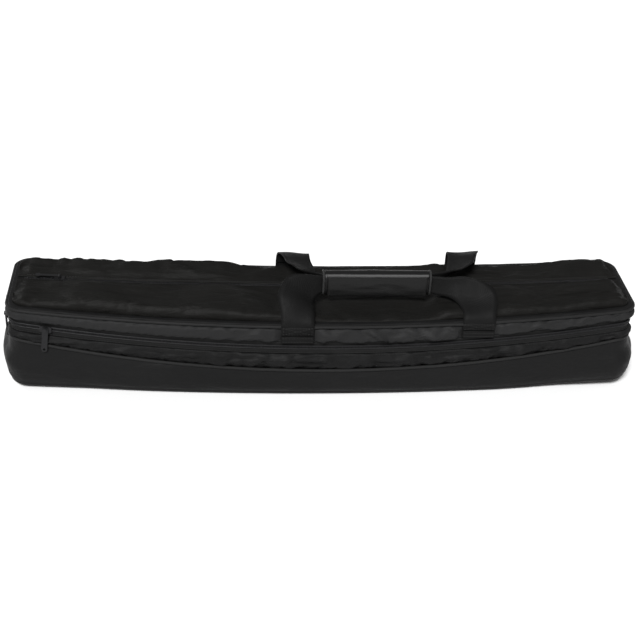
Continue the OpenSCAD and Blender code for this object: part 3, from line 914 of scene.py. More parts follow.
def tape_piece(name, side, body, nodes):
    """One zip tape, from its stitched edge to the coil. side is 1 for the lid's and -1 for the
    tray's, which goes further under its seam."""
    loop = ahead_of(LOOP, RUN_BACK_Y)
    under_seam = -0.001 if side > 0 else SEAM_LAP
    levels = np.linspace(COIL_H * 0.4, COIL_H + TAPE_H + under_seam, 6)
    heights = [zip_z(loop[:, 0]) + side * level for level in levels[::side]]
    grid = wall_grid(loop, [(-0.0012, z) for z in heights])
    push_out(grid, loop, 0.0005 * wobble(grid, (0.03, 0.03, 0.01), 6.0, 1))
    # The tape cloth is painted lighter, as painted light against the shade of its inset.
    piece = sheet_piece(name, grid, ZIP_TAPE_PAINTED_LIGHTER)
    thicken(piece, TAPE_T)
    finish_piece(piece, body, nodes)


def coil_piece(name, side, body, nodes):
    """Half of the zip: a row of teeth that reach across to the other half, on a thin cord."""
    teeth_up, cord_up, cord_r = 0.00135, 0.0027, 0.0007
    loop = ahead_of(LOOP, RUN_BACK_Y)
    line = loop_line(loop, 0.0002, zip_z(loop[:, 0]) + side * teeth_up)
    # The teeth and cord use the coil material painted lighter, as painted light in the zip.
    teeth = repeat_piece(name, [line], TOOTH, TOOTH_PITCH, COIL_PAINTED_LIGHTER, turn=0.15, seed=3)
    finish_piece(teeth, body, nodes)
    points, across = loop_line(loop, 0.0003, zip_z(loop[:, 0]) + side * cord_up)
    up = same_way(points, Z_AXIS)
    cord = tube_piece(name + ".cord", points, across, up, round_section(cord_r, 6), COIL_PAINTED_LIGHTER)
    finish_piece(cord, body)


def stitch_piece(name, lines, body):
    piece = repeat_piece(name, lines, STITCH, STITCH_PITCH, THREAD, turn=0.12, seed=9)
    finish_piece(piece, body)


def build_tray_trim():
    run = ahead_of(LOOP, BACK_ZONE_Y)
    welt_piece("lower_welt.piping", run, welt_z(run[:, 0]) - 0.0012, "tray", ["lower_welt"])
    tape_piece("lower_zip_tape.cloth", -1, "tray", ["lower_zip_tape"])
    coil_piece("lower_zip_coil.teeth", -1, "tray", ["lower_zip_coil"])
    short = ahead_of(LOOP, RUN_BACK_Y)
    seam = gusset_top(short[:, 0])
    lines = [loop_line(short, 0.0002, seam + STITCH_GAP), loop_line(short, 0.0004, seam - STITCH_GAP)]
    stitch_piece("gusset_strip.stitches", lines, "tray")


def build_hinge():
    """The cloth hinge: a plain strip along the back, where the lid turns."""
    loop = np.roll(LOOP, len(LOOP) // 2, axis=0)
    loop = loop[loop[:, 1] >= BACK_ZONE_Y - 0.006]
    rows = 11
    top = mixed(loop, band_bottom(loop[:, 0]) + SEAM_LAP, HINGE_HIGH_Z + SEAM_LAP)
    bottom = mixed(loop, welt_z(loop[:, 0]), HINGE_LOW_Z - SEAM_LAP)
    grid = wall_grid(loop, [(-COVER_T, bottom * (1 - t) + top * t) for t in np.linspace(0, 1, rows)])
    piece = sheet_piece("hinge_cloth.strip", grid, NYLON)
    thicken(piece, 0.0012)
    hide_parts("hinge_cloth")
    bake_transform(piece)


def build_zip_tabs():
    for node in ("left_zip_tab", "right_zip_tab"):
        piece = pillow_piece(node + ".cloth", low(node), high(node), 0.0004, NYLON)
        finish_piece(piece, "tray", [node])


def plate_piece(name, loop, outset, low_z, high_z, edge, material):
    """A padded plate with the case's outline. low_z and high_z are heights as functions of x."""
    factors = (0.0, 0.25, 0.5, 0.75, 0.93)
    inset = outset - edge
    x = loop[:, 0]
    thick = high_z(x) - low_z(x)
    rows = scaled_rows(loop, inset, factors, lambda x, y: low_z(x))
    for a in arc(0, 180, 9):
        rows.append(ring(loop, inset + edge * np.sin(a), low_z(x) + thick * (1 - np.cos(a)) / 2))
    rows += scaled_rows(loop, inset, factors[::-1], lambda x, y: high_z(x))
    return make_outward(sheet_piece(name, np.array(rows), material, closed=True))


def build_tray_inside():
    """The board and the foam in the tray: a floor pad, and a pad against each wall."""
    coarse = plan_loop(0.012)
    back_top_z = 0.0935
    below_seam = 0.0045
    foam_top = high("base_foam").z

    def at(z):
        return lambda x: z + end_lift(x)

    board_low, board_high = low("base_board").z, high("base_board").z
    board = plate_piece("base_board.sheet", coarse, -0.009, at(board_low), at(board_high), 0.0015, BOARD)
    finish_piece(board, "tray", ["base_board"])
    floor = plate_piece("base_foam.pad", coarse, -0.006, at(low("base_foam").z), at(foam_top), 0.004, FOAM)
    finish_piece(floor, "tray", ["base_foam"])
    walls = {
        "front_foam": coarse[(coarse[:, 1] < 0) & (np.abs(coarse[:, 0]) < END_FLAT_X)],
        "back_foam": back_stretch(coarse),
        "left_end_foam": end_stretch(coarse, -1),
        "right_end_foam": end_stretch(coarse, 1),
    }
    for node, part in walls.items():
        top = back_top_z if node == "back_foam" else gusset_top(part[:, 0]) - below_seam
        pad = wall_pad(node + ".pad", part, foam_top + 0.0006, top)
        finish_piece(pad, "tray", [node])


def back_stretch(loop):
    turned = np.roll(loop, len(loop) // 2, axis=0)
    return turned[(turned[:, 1] > BACK_Y - 0.001) & (np.abs(turned[:, 0]) < END_FLAT_X)]


def end_stretch(loop, side):
    return loop[side * loop[:, 0] > HALF_LEN - 0.0005]


def wall_pad(name, loop, base, top):
    """A foam pad that stands against a wall, with its bottom and top edges rounded."""
    inset, thick = 0.0024, 0.0102
    radius = thick / 2
    low_z = base + end_lift(loop[:, 0]) + radius
    high_z = top - radius
    rising = arc(0, 90, 4)
    falling = rising[::-1][1:]
    section = [(np.cos(a), high_z + radius * np.sin(a)) for a in rising]
    section += [(-np.cos(a), high_z + radius * np.sin(a)) for a in falling]
    section += [(-np.cos(a), low_z - radius * np.sin(a)) for a in rising]
    section += [(np.cos(a), low_z - radius * np.sin(a)) for a in falling]
    grid = wall_grid(loop, [(radius * reach - inset - radius, z) for reach, z in section])
    rows, columns = grid.shape[:2]
    faces = []
    for r in range(rows):
        here, ahead = r * columns, (r + 1) % rows * columns
        for c in range(columns - 1):
            faces.append((here + c, here + c + 1, ahead + c + 1, ahead + c))
    faces.append(tuple(r * columns for r in range(rows)))
    faces.append(tuple(r * columns + columns - 1 for r in reversed(range(rows))))
    return make_outward(add_piece(name, grid.reshape(-1, 3), faces, FOAM, grid_uvs(grid)))


def build_tray_lining():
    """Lining over the floor foam and up the wall foam, with its rim rolled out over the foam."""
    inset, corner, back_rim_z = 0.0132, 0.008, 0.0945
    edge_rows, wall_rows, roll_rows = 5, 11, 6
    loop = plan_loop(0.008)
    x = loop[:, 0]
    floor_z = FLOOR_TOP_Z + 0.0014
    rim = mixed(loop, gusset_top(x) - 0.0035, back_rim_z)
    rows = scaled_rows(loop, -inset - corner, POLE_RINGS, lambda x, y: floor_z + end_lift(x))
    for a in arc(0, 90, edge_rows):
        z = floor_z + end_lift(x) + corner * (1 - np.cos(a))
        rows.append(ring(loop, corner * np.sin(a) - inset - corner, z))
    rows += climbing_rings(loop, -inset, floor_z + corner + end_lift(x), rim, wall_rows)
    roll = (inset - 0.0018) / 2
    for a in arc(0, 180, roll_rows + 1)[1:]:
        rows.append(ring(loop, -inset + roll * (1 - np.cos(a)), rim + roll * 0.5 * np.sin(a)))
    grid = np.array(rows)
    floor_rows = len(POLE_RINGS) + edge_rows
    share = np.concatenate([np.zeros(floor_rows), np.linspace(0, 1, wall_rows), np.ones(roll_rows)])
    share = share[:, None]
    push_out(grid, loop, -0.0016 * np.sin(np.pi * share) * (1 + wobble(grid, (0.05, 0.05, 0.03), 9.2)))
    floor = (share <= 0) & (np.arange(len(rows)) > 0)[:, None]
    grid[:, :, 2] += 0.0008 * floor * wobble(grid, (0.07, 0.04, 0.05), 1.4)
    piece = sheet_piece("tray_lining.cloth", grid, LINING, closed=True)
    merge_doubles(piece)
    thicken(piece, LINING_T, outward=1.0)
    finish_piece(piece, "tray", ["tray_lining"])


def build_tie_straps():
    """Loose hook-and-loop straps that lie across the floor of the tray."""
    thickness, rise_in = 0.0016, 0.03
    for node in ("left_tie_strap", "right_tie_strap"):
        lo, hi = low(node), high(node)
        y = np.linspace(lo.y, hi.y, 40)
        to_end = np.minimum(np.abs(y - lo.y), np.abs(hi.y - y))
        height = lo.z + 0.0012 + 0.004 * smooth(to_end / rise_in) * (0.6 + 0.4 * np.sin(y * 70))
        path = np.column_stack([np.full(len(y), (lo.x + hi.x) / 2), y, height])
        across, up = same_way(path, X_AXIS), same_way(path, Z_AXIS)
        section = strip_section(hi.x - lo.x, thickness)
        piece = tube_piece(node + ".strap", path, across, up, section, FUZZ)
        finish_piece(piece, "tray", [node])


# ---------------------------------------------------------------- lid
BAND_TUCK = 0.0058


def lid_low(loop):
    return mixed(loop, band_bottom(loop[:, 0]) - SEAM_LAP, HINGE_HIGH_Z)


def build_lid_band():
    """The lid's soft rim. It leans back over its padding and tucks in deeply under the welt."""
    rows = 14
    below_top = 0.0014
    crease_depth, dent_depth, pucker_depth = 0.0085, 0.0010, 0.0006
    loop = LOOP
    x = loop[:, 0]
    low_z, high_z = lid_low(loop), top_z(x) - below_top
    share = np.linspace(0, 1, rows + 1)[:, None]
    grid = wall_grid(loop, [(0, low_z * (1 - t) + high_z * t) for t in share[:, 0]])
    free = (1 - under_strap(x)) * np.sin(np.pi * share ** 0.6) ** 0.8
    slanted = grid.copy()
    slanted[:, :, 0] += 1.4 * slanted[:, :, 2]
    between_straps = smooth((x - STRAP_X[0]) / 0.05) * smooth((STRAP_X[1] - x) / 0.05)
    on_front = (loop[:, 3] < -0.9) * between_straps
    creased = folds(slanted, (0.055, 0.05, 0.06), 3.3) + 0.5 * wobble(slanted, (0.04, 0.05, 0.03), 7.1)
    deep = crease_depth * on_front * np.maximum(creased, 0)
    fine = dent_depth * wobble(grid, (0.05, 0.03, 0.02), 1.1)
    near_welt = smooth((share - 0.6) / 0.2) * (share < 0.98)
    puckers = pucker_depth * near_welt * wobble(grid, (0.011, 0.011, 0.03), 2.0, 1)
    tuck = BAND_TUCK * smooth((share - 0.7) / 0.22)
    front_swell = 0.0045 * smooth(-loop[:, 3] / 0.9)
    swell = 0.0022 + front_swell + 0.5 * END_SWELL * at_ends(loop)
    push_out(grid, loop, free * (swell + deep + fine) + puckers * (1 - under_strap(x)) - tuck)
    # The band uses the cloth painted lighter, as painted light on the rim.
    piece = sheet_piece("lid_band.cloth", grid, BAND_NYLON_PAINTED_LIGHTER, closed=True)
    sewn = np.maximum((share < 0.02) | (share > 0.9), under_strap(x) > 0.5)
    held = np.maximum(sewn, firm_cloth(x, loop))
    crumple(piece, held.ravel(), slack=0.03, pressure=0.8, cap=0.0045)
    thicken(piece, 0.0012)
    finish_piece(piece, "lid", ["lid_band"])


def build_lid_top():
    """The lid's top panel. Its edge rolls down into the welt and puckers a little there."""
    edge, drop, edge_rows = 0.003, 0.0026, 5
    factors = (0, 0.3, 0.6, 0.8, 0.9, 0.96)
    loop = LOOP
    x = loop[:, 0]
    rows = scaled_rows(loop, -edge, factors, lambda x, y: top_z(x) + 0.0002)
    for a in arc(0, 80, edge_rows):
        rows.append(ring(loop, edge * (np.sin(a) - 1), top_z(x) - drop * (1 - np.cos(a))))
    grid = np.array(rows)[::-1]
    row = np.arange(len(grid))[:, None]
    puckered = (row > 0) & (row <= edge_rows)
    grid[:, :, 2] += 0.0005 * puckered * wobble(grid, (0.012, 0.012, 0.05), 4.0, 1)
    piece = sheet_piece("lid_top_panel.cloth", grid, NYLON, closed=True)
    merge_doubles(piece)
    thicken(piece, COVER_T)
    finish_piece(piece, "lid", ["lid_top_panel"])


def build_lid_trim():
    welt_piece("upper_welt.piping", LOOP, top_z(LOOP[:, 0]) - 0.0036, "lid", ["upper_welt"], True)
    tape_piece("upper_zip_tape.cloth", 1, "lid", ["upper_zip_tape"])
    coil_piece("upper_zip_coil.teeth", 1, "lid", ["upper_zip_coil"])
    short = ahead_of(LOOP, RUN_BACK_Y)
    seam = band_bottom(short[:, 0]) - SEAM_LAP
    lines = [loop_line(short, 0.0002, seam - STITCH_GAP), loop_line(short, 0.0006, seam + STITCH_GAP)]
    stitch_piece("lid_band.stitches", lines, "lid")


def build_lid_inside():
    """The lid's foam and its lining, which hangs a little from the foam and turns down at its rim."""
    foam_depth = TOP_END_Z - low("lid_foam").z - (TOP_END_Z - TOP_MID_Z)

    def foam_bottom(x):
        return top_z(x) - foam_depth

    def foam_top(x):
        return top_z(x) - 0.0024

    inset = -BAND_TUCK - 0.002
    pad = plate_piece("lid_foam.pad", plan_loop(0.012), inset, foam_bottom, foam_top, 0.0045, FOAM)
    finish_piece(pad, "lid", ["lid_foam"])
    corner, edge_inset, rim_inset = 0.004, 0.006, 0.002
    edge_rows, wall_rows = 4, 5
    loop = plan_loop(0.008)
    ceiling = foam_bottom(loop[:, 0]) - LINING_T
    rim = np.minimum(lid_low(loop) + 0.002, ceiling - corner - 0.002)
    rows = scaled_rows(loop, -edge_inset, POLE_RINGS, lambda x, y: foam_bottom(x) - LINING_T)
    for a in arc(0, 90, edge_rows):
        rows.append(ring(loop, -edge_inset + corner * np.sin(a), ceiling - corner * (1 - np.cos(a))))
    rows += climbing_rings(loop, -rim_inset, ceiling - corner, rim, wall_rows)
    grid = np.array(rows)
    row = np.arange(len(grid))[:, None]
    hanging = (row > 0) & (row < len(POLE_RINGS))
    grid[:, :, 2] -= 0.0012 * hanging * (1 + wobble(grid, (0.06, 0.04, 0.05), 2.4)) / 2
    piece = sheet_piece("lid_lining.cloth", grid[::-1], LINING, closed=True)
    merge_doubles(piece)
    thicken(piece, LINING_T)
    finish_piece(piece, "lid", ["lid_lining"])


# ---------------------------------------------------------------- the wrap's place
GRIP_LOW, GRIP_HIGH = low("grip_wrap"), high("grip_wrap")
GRIP_X = (GRIP_LOW.x + GRIP_HIGH.x) / 2
GRIP_Y = (GRIP_LOW.y + GRIP_HIGH.y) / 2
GRIP_Z = (GRIP_LOW.z + GRIP_HIGH.z) / 2


# ---------------------------------------------------------------- pocket on the lid
POCKET_MARGIN = HALF_LEN - high("pocket_front_panel").x
POCKET_ZIP_Y = (low("pocket_zip_coil").y + high("pocket_zip_coil").y) / 2
POCKET_BASE = 0.0008
COIL_HALF_W = 0.0025


def pocket_stations(inset):
    """Places along the case, closer together round the corners."""
    radius = CORNER_R - inset
    round_corner = END_FLAT_X + radius * np.sin(arc(90, 8, 8))
    middle = np.linspace(-END_FLAT_X, END_FLAT_X, 182)
    return np.concatenate([-round_corner, middle, round_corner[::-1]])


def corner_depth(x, inset):
    """How far the outline has turned away from its straight side at x."""
    radius = CORNER_R - inset
    beyond = np.clip(np.abs(x) - END_FLAT_X, 0, radius)
    return radius - np.sqrt(radius ** 2 - beyond ** 2)


def pocket_panel(name, edge_y, slot_y, phase, node):
    """One side of the pocket, from the zip to the outline. It lies padded on the lid, fullest near
    its two ends and pressed flat under the wrap."""
    row_spacing, base_height, rim_height = 0.005, 0.0032, 0.0036
    x = pocket_stations(POCKET_MARGIN)
    span = np.abs(edge_y(x) - slot_y)
    rows = round(abs(float(np.mean(edge_y(x)) - slot_y)) / row_spacing)
    share = np.linspace(0, 1, rows + 1)[:, None]
    y_grid = slot_y * (1 - share) + edge_y(x) * share
    x_grid = x + 0 * share
    from_zip, from_edge = share * span, (1 - share) * span
    from_end = np.abs(HALF_LEN - POCKET_MARGIN - np.abs(x_grid))
    near_wrap = smooth((0.11 - np.abs(x_grid - GRIP_X)) / 0.03)
    under_wrap = near_wrap * smooth((GRIP_Y + 0.05 - y_grid) / 0.03)
    pressed = 1 - 0.8 * under_wrap
    crown = pressed * smooth(from_zip / 0.018) * smooth(from_edge / 0.012) * smooth(from_end / 0.02)
    grid = np.stack([x_grid, y_grid, top_z(x_grid) + POCKET_BASE], axis=2)
    lengthwise = 0.0046 * folds(grid, (0.30, 0.026, 0.05), phase)
    broad = 0.0016 * wobble(grid, (0.13, 0.06, 0.05), phase + 4)
    full = 0.0070 * smooth((x_grid + 0.44) / 0.08) * smooth((-0.06 - x_grid) / 0.12)
    full += 0.0045 * smooth((x_grid - 0.33) / 0.08)
    lip = 0.0015 * smooth((0.009 - from_zip) / 0.009)
    grid[:, :, 2] += lip + crown * (base_height + lengthwise + broad + full)
    near_edge = smooth((0.020 - from_edge) / 0.012) * smooth(from_edge / 0.004)
    pucker_depth = 0.0009 + 0.0018 * smooth((-0.27 - x_grid) / 0.06)
    puckers = pucker_depth * near_edge * wobble(grid, (0.012, 0.02, 0.05), phase, 1)
    grid[:, :, 2] += rim_height * pressed * near_edge + puckers
    if slot_y > float(np.mean(edge_y(x))):
        grid, share = grid[::-1], share[::-1]
        from_zip, from_end = from_zip[::-1], from_end[::-1]
    # The pocket panels use the cloth painted darker, as painted shade on the top.
    piece = sheet_piece(name, grid, TOP_NYLON_PAINTED_DARKER)
    pinned = (from_zip < 0.008) | (share > 0.98) | (from_end < 0.002)
    crumple(piece, pinned.ravel().astype(float), slack=0.012, pressure=0.7, cap=0.005)
    thicken(piece, 0.0010)
    finish_piece(piece, "lid", [node])


def build_pocket():
    def front_edge(x):
        inner = np.clip(x, -END_FLAT_X, END_FLAT_X)
        return front_y(inner) + POCKET_MARGIN + corner_depth(x, POCKET_MARGIN)

    def back_edge(x):
        return BACK_Y - POCKET_MARGIN - corner_depth(x, POCKET_MARGIN)

    gap = COIL_HALF_W + 0.0006
    pocket_panel("pocket_front_panel.cloth", front_edge, POCKET_ZIP_Y - gap, 6.1, "pocket_front_panel")
    pocket_panel("pocket_back_panel.cloth", back_edge, POCKET_ZIP_Y + gap, 2.9, "pocket_back_panel")
    build_pocket_zip()


def build_pocket_zip():
    """The pocket's zip: one tape, two rows of teeth and a line of stitches on each side."""
    tape_width = 0.026
    teeth_off, teeth_up = 0.0011, 0.0013
    stitches_off, stitches_up = COIL_HALF_W + 0.0035, 0.0029
    reach = high("pocket_zip_tape").x
    x = np.linspace(-reach, reach, 160)
    path = np.column_stack([x, np.full(len(x), POCKET_ZIP_Y), top_z(x) + 0.0007])
    across, up = same_way(path, Y_AXIS), same_way(path, Z_AXIS)
    # The pocket's tape uses the same cloth painted lighter.
    tape = tube_piece("pocket_zip_tape.cloth", path, across, up, strip_section(tape_width, TAPE_T), ZIP_TAPE_PAINTED_LIGHTER)
    finish_piece(tape, "lid", ["pocket_zip_tape"])
    inside = np.abs(x) < high("pocket_zip_coil").x
    line = path[inside]
    lines = [(line + (0, side * teeth_off, teeth_up), up[inside]) for side in (-1, 1)]
    # The pocket's teeth use the same coil material painted lighter.
    coil = repeat_piece("pocket_zip_coil.teeth", lines, TOOTH, TOOTH_PITCH, COIL_PAINTED_LIGHTER, turn=0.1, seed=5)
    finish_piece(coil, "lid", ["pocket_zip_coil"])
    seams = [(line + (0, side * stitches_off, stitches_up), up[inside]) for side in (-1, 1)]
    stitch_piece("pocket_zip_tape.stitches", seams, "lid")


# ---------------------------------------------------------------- handles
def ribbon_piece(name, left, right, thickness, material):
    """A webbing strap between two edge lines, given as points from its start to its end."""
    across_rows, sway, sway_size = 9, 0.004, 0.032
    grid = np.array([left * (1 - t) + right * t for t in np.linspace(0, 1, across_rows)])
    loose = np.sin(np.pi * np.linspace(0, 1, len(left)))[None, :, None]
    for axis, seed in enumerate((1.7, 5.2, 9.4)):
        grid[:, :, axis:axis + 1] += sway * loose * wobble(grid, sway_size, seed, 1)[:, :, None]
    return thicken(sheet_piece(name, grid, material), thickness, outward=0.5)


def bezier(points, count):
    """A smooth line that starts and ends on the first and last points."""
    t = np.linspace(0, 1, count)[:, None]
    order = len(points) - 1
    weights = [math.comb(order, k) * t ** k * (1 - t) ** (order - k) for k in range(order + 1)]
    return sum(w * np.array(p, float) for w, p in zip(weights, points))


FRONT_STRAP_OUT = 0.0034
WEBBING_T = 0.002


def line_between(start, end, count):
    """Points at even steps from one point to another."""
    steps = np.linspace(0, 1, count)[:, None]
    return np.array(start) * (1 - steps) + np.array(end) * steps


def sewn_strap(node, x, side_y, low_z, high_z):
    """The flat end of a strap on the case's front or back, with a doubled hem and stitching."""
    hem_top = 0.012
    name = node + ".webbing"
    face = float(front_y(x)) if side_y < 0 else BACK_Y
    y = face + side_y * FRONT_STRAP_OUT
    z = np.linspace(low_z, high_z, 14)
    waves = 0.0006 * np.sin((z - low_z) * 160)
    path = np.column_stack([np.full(len(z), x), y + waves, z])
    across, out = same_way(path, X_AXIS), same_way(path, (0, float(side_y), 0))
    strap = tube_piece(name, path, across, out, strip_section(STRAP_W, WEBBING_T), WEBBING)
    finish_piece(strap, "lid", [node])
    hem_z = np.linspace(low_z + 0.0008, low_z + hem_top, 6)
    hem_path = np.column_stack([np.full(6, x), np.full(6, y + side_y * 0.0021), hem_z])
    hem_section = strip_section(STRAP_W - 0.001, 0.0021)
    hem = tube_piece(name + ".hem", hem_path, across[:6], out[:6], hem_section, WEBBING)
    finish_piece(hem, "lid")
    stitch_piece(name + ".stitches", strap_seams(x, y, side_y, low_z, high_z), "lid")


def strap_seams(x, y, side_y, low_z, high_z):
    """The stitches of a sewn end: a crossed box above the hem and two rows on the hem."""
    reach = STRAP_W / 2 - 0.004
    box_low, box_high = low_z + 0.0145, min(high_z - 0.002, low_z + 0.026)
    box_y, hem_y = y + side_y * 0.0014, y + side_y * 0.0034
    outward = np.array((0, float(side_y), 0))
    places = ((x - reach, box_low), (x + reach, box_low), (x + reach, box_high), (x - reach, box_high))
    corners = [(at_x, box_y, at_z) for at_x, at_z in places]
    seams = [(0, 1), (1, 2), (2, 3), (3, 0), (0, 2), (1, 3)]
    lines = [(line_between(corners[a], corners[b], 5), outward) for a, b in seams]
    for z in (low_z + 0.003, low_z + 0.009):
        lines.append((np.array([(x - reach, hem_y, z), (x + reach, hem_y, z)]), outward))
    return lines


def free_strap(node, x, side, front):
    """A strap's free stretch: it leaves the case lying flat, turns over itself and goes into the
    wrap's end standing on edge. The front strap on the left stands in a higher arch."""
    half_w = STRAP_W / 2
    outer_x, inner_x = x + side * half_w, x - side * half_w
    enter_x = (GRIP_HIGH.x if side > 0 else GRIP_LOW.x) - side * 0.006
    enter_y = GRIP_Y + (-0.0028 if front else 0.0028)
    half_entry = 0.013
    top, bottom = GRIP_Z + half_entry, GRIP_Z - half_entry
    loft = 1.0 if side < 0 else 0.55
    if front:
        base_y = float(front_y(x)) - FRONT_STRAP_OUT
        base_z = float(top_z(x)) + 0.001
        outer = [
            (outer_x, base_y, base_z - 0.004), (outer_x, base_y - 0.001, base_z + 0.012),
            (outer_x + side * 0.004, base_y + 0.026, base_z + 0.014 + 0.018 * loft),
            (outer_x + side * 0.014, enter_y - 0.012, base_z + 0.016 + 0.046 * loft),
            (outer_x - side * 0.004, enter_y - 0.002, top + 0.014 * loft),
            (enter_x + side * 0.030, enter_y - 0.006, top + 0.001), (enter_x, enter_y, top),
        ]
        inner = [
            (inner_x, base_y, base_z - 0.004), (inner_x, base_y - 0.001, base_z + 0.009),
            (inner_x, base_y + 0.014, base_z + 0.013),
            (inner_x + side * 0.004, enter_y - 0.026, base_z + 0.014),
            (inner_x - side * 0.004, enter_y - 0.012, bottom - 0.004),
            (enter_x + side * 0.016, enter_y - 0.010, bottom), (enter_x, enter_y, bottom),
        ]
    else:
        base_y = BACK_Y + FRONT_STRAP_OUT
        base_z = float(top_z(x)) + 0.008
        outer = [
            (outer_x, base_y, base_z - 0.004), (outer_x, base_y + 0.001, base_z + 0.020),
            (outer_x - side * 0.002, base_y - 0.010, base_z + 0.034),
            (outer_x - side * 0.006, base_y - 0.050, base_z + 0.024),
            (outer_x - side * 0.014, enter_y + 0.020, top - 0.004),
            (enter_x + side * 0.030, enter_y + 0.008, top + 0.002), (enter_x, enter_y, top),
        ]
        inner = [
            (inner_x, base_y, base_z - 0.004), (inner_x, base_y + 0.001, base_z + 0.022),
            (inner_x - side * 0.002, base_y - 0.012, base_z + 0.032),
            (inner_x - side * 0.003, base_y - 0.050, base_z + 0.018),
            (inner_x - side * 0.005, enter_y + 0.022, bottom),
            (enter_x + side * 0.018, enter_y + 0.012, bottom), (enter_x, enter_y, bottom),
        ]
    outer_line, inner_line = bezier(outer, 60), bezier(inner, 60)
    flip = (side > 0) == front
    left, right = (inner_line, outer_line) if flip else (outer_line, inner_line)
    piece = ribbon_piece(node + ".webbing", left, right, WEBBING_T, WEBBING)
    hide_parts(node)
    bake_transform(piece)


def build_straps():
    for side, x, word in ((-1, STRAP_X[0], "left"), (1, STRAP_X[1], "right")):
        roof = float(top_z(x))
        back_low = low(f"back_strap_end_{word}").z
        sewn_strap(f"front_strap_end_{word}", x, -1, float(band_bottom(x)) - 0.0015, roof - 0.002)
        sewn_strap(f"back_strap_end_{word}", x, 1, back_low, roof + 0.006)
        free_strap(f"front_strap_{word}", x, side, front=True)
        free_strap(f"back_strap_{word}", x, side, front=False)


# ---------------------------------------------------------------- the wrap that joins the handles
def stadium_section(height, width, count=8):
    """Points round an upright oval with straight sides, anticlockwise seen from its end."""
    radius = width / 2
    straight = height / 2 - radius
    turns = arc(0, 180, count)
    top = [(radius * np.cos(a), straight + radius * np.sin(a)) for a in turns]
    bottom = [(-radius * np.cos(a), -straight - radius * np.sin(a)) for a in turns]
    return np.array(top + bottom)


def point_away(piece, middle):
    """Turns an open tube's faces away from its middle line, which runs along X."""
    mesh = piece.data
    face = mesh.polygons[len(mesh.polygons) // 2]
    outward = face.center - Vector(middle)
    outward.x = 0
    if face.normal.dot(outward) < 0:
        mesh.flip_normals()


def fill_section(section, spacing):
    """Adds points along a closed outline so that none are further apart than the spacing."""
    out = []
    for a, b in zip(section, np.roll(section, -1, axis=0)):
        count = max(1, math.ceil(np.linalg.norm(b - a) / spacing))
        out += [a + (b - a) * k / count for k in range(count)]
    return np.array(out)


def ring_along(name, path, radius, material):
    """A rolled edge along a closed line."""
    ahead = np.roll(path, -1, axis=0) - np.roll(path, 1, axis=0)
    ahead /= np.linalg.norm(ahead, axis=1, keepdims=True)
    up = same_way(path, X_AXIS)
    across = np.cross(ahead, up)
    return tube_piece(name, path, across, up, round_section(radius), material, True)


def build_wrap():
    """The padded vinyl tube round the handles, puffed out a little at its middle."""
    puff_depth, dent_depth, thickness = 0.0006, 0.0007, 0.003
    height, width = GRIP_HIGH.z - GRIP_LOW.z, GRIP_HIGH.y - GRIP_LOW.y
    section = fill_section(stadium_section(height, width), 0.004)
    x = np.linspace(GRIP_LOW.x, GRIP_HIGH.x, 60)
    grid = np.array([[(at, GRIP_Y + a, GRIP_Z + b) for a, b in section] for at in x])
    middle = np.array((GRIP_X, GRIP_Y, GRIP_Z))
    arch = np.sin(np.pi * (x - GRIP_LOW.x) / (GRIP_HIGH.x - GRIP_LOW.x))[:, None]
    relief = puff_depth * arch + dent_depth * wobble(grid, (0.03, 0.02, 0.02), 5.0) * arch
    away = grid - middle
    away[:, :, 0] = 0
    away /= np.maximum(np.linalg.norm(away, axis=2, keepdims=True), 1e-9)
    grid += away * relief[:, :, None]
    columns = len(section)
    faces = []
    for r in range(len(x) - 1):
        here, ahead = r * columns, (r + 1) * columns
        for c in range(columns):
            n = (c + 1) % columns
            faces.append((here + c, ahead + c, ahead + n, here + n))
    piece = add_piece("grip_wrap.vinyl", grid.reshape(-1, 3), faces, VINYL, grid_uvs(grid))
    point_away(piece, middle)
    thicken(piece, thickness)
    finish_piece(piece, "grip", ["grip_wrap"])


def build_wrap_trim():
    """The rolled edges round the wrap's ends, the webbing folded in it and its closing strips."""
    inset, stand_off, edge_r = 0.002, 0.0012, 0.0019
    height, width = GRIP_HIGH.z - GRIP_LOW.z - inset, GRIP_HIGH.y - GRIP_LOW.y - inset
    section = fill_section(stadium_section(height, width), 0.003)
    ends = (
        ("left", GRIP_LOW.x - stand_off, ["grip_end_bindings"]),
        ("right", GRIP_HIGH.x + stand_off, []),
    )
    for word, x, nodes in ends:
        path = np.array([(x, GRIP_Y + a, GRIP_Z + b) for a, b in section])
        # The end bindings use the cloth painted lighter, as a dimmer painted highlight.
        edge = ring_along(f"grip_end_bindings.{word}", path, edge_r, WRAP_EDGE_PAINTED_HIGHLIGHT)
        finish_piece(edge, "grip", nodes)
    for node in ("grip_webbing_front", "grip_webbing_back"):
        piece = pillow_piece(node + ".fold", low(node), high(node), 0.0018, WEBBING)
        finish_piece(piece, "grip", [node])
    for node, body in (("loop_strip", "grip"), ("hook_strip", "flap")):
        piece = pillow_piece(node + ".strip", low(node), high(node), 0.0003, FUZZ)
        finish_piece(piece, body, [node])


def build_flap():
    """The wrap's flap: a padded vinyl panel that closes over the front."""
    thickness, padding, dent_depth = 0.0015, 0.0016, 0.0011
    lo, hi = low("grip_flap"), high("grip_flap")
    x = np.linspace(lo.x, hi.x, 60)
    share = np.linspace(0, 1, 16)[:, None]
    z = (lo.z + 0.0008) * (1 - share) + hi.z * share
    grid = np.stack([x + 0 * share, lo.y + 0 * share * x, z + 0 * x], axis=2)
    from_side = np.sin(np.pi * (x - lo.x) / (hi.x - lo.x)) ** 0.35
    swell = np.sin(np.pi * share) ** 0.7 * from_side
    grid[:, :, 1] -= swell * (padding + dent_depth * wobble(grid, (0.05, 0.02, 0.012), 3.0))
    piece = sheet_piece("grip_flap.vinyl", grid, VINYL)
    thicken(piece, thickness)
    subdivide(piece)
    finish_piece(piece, "flap", ["grip_flap"])


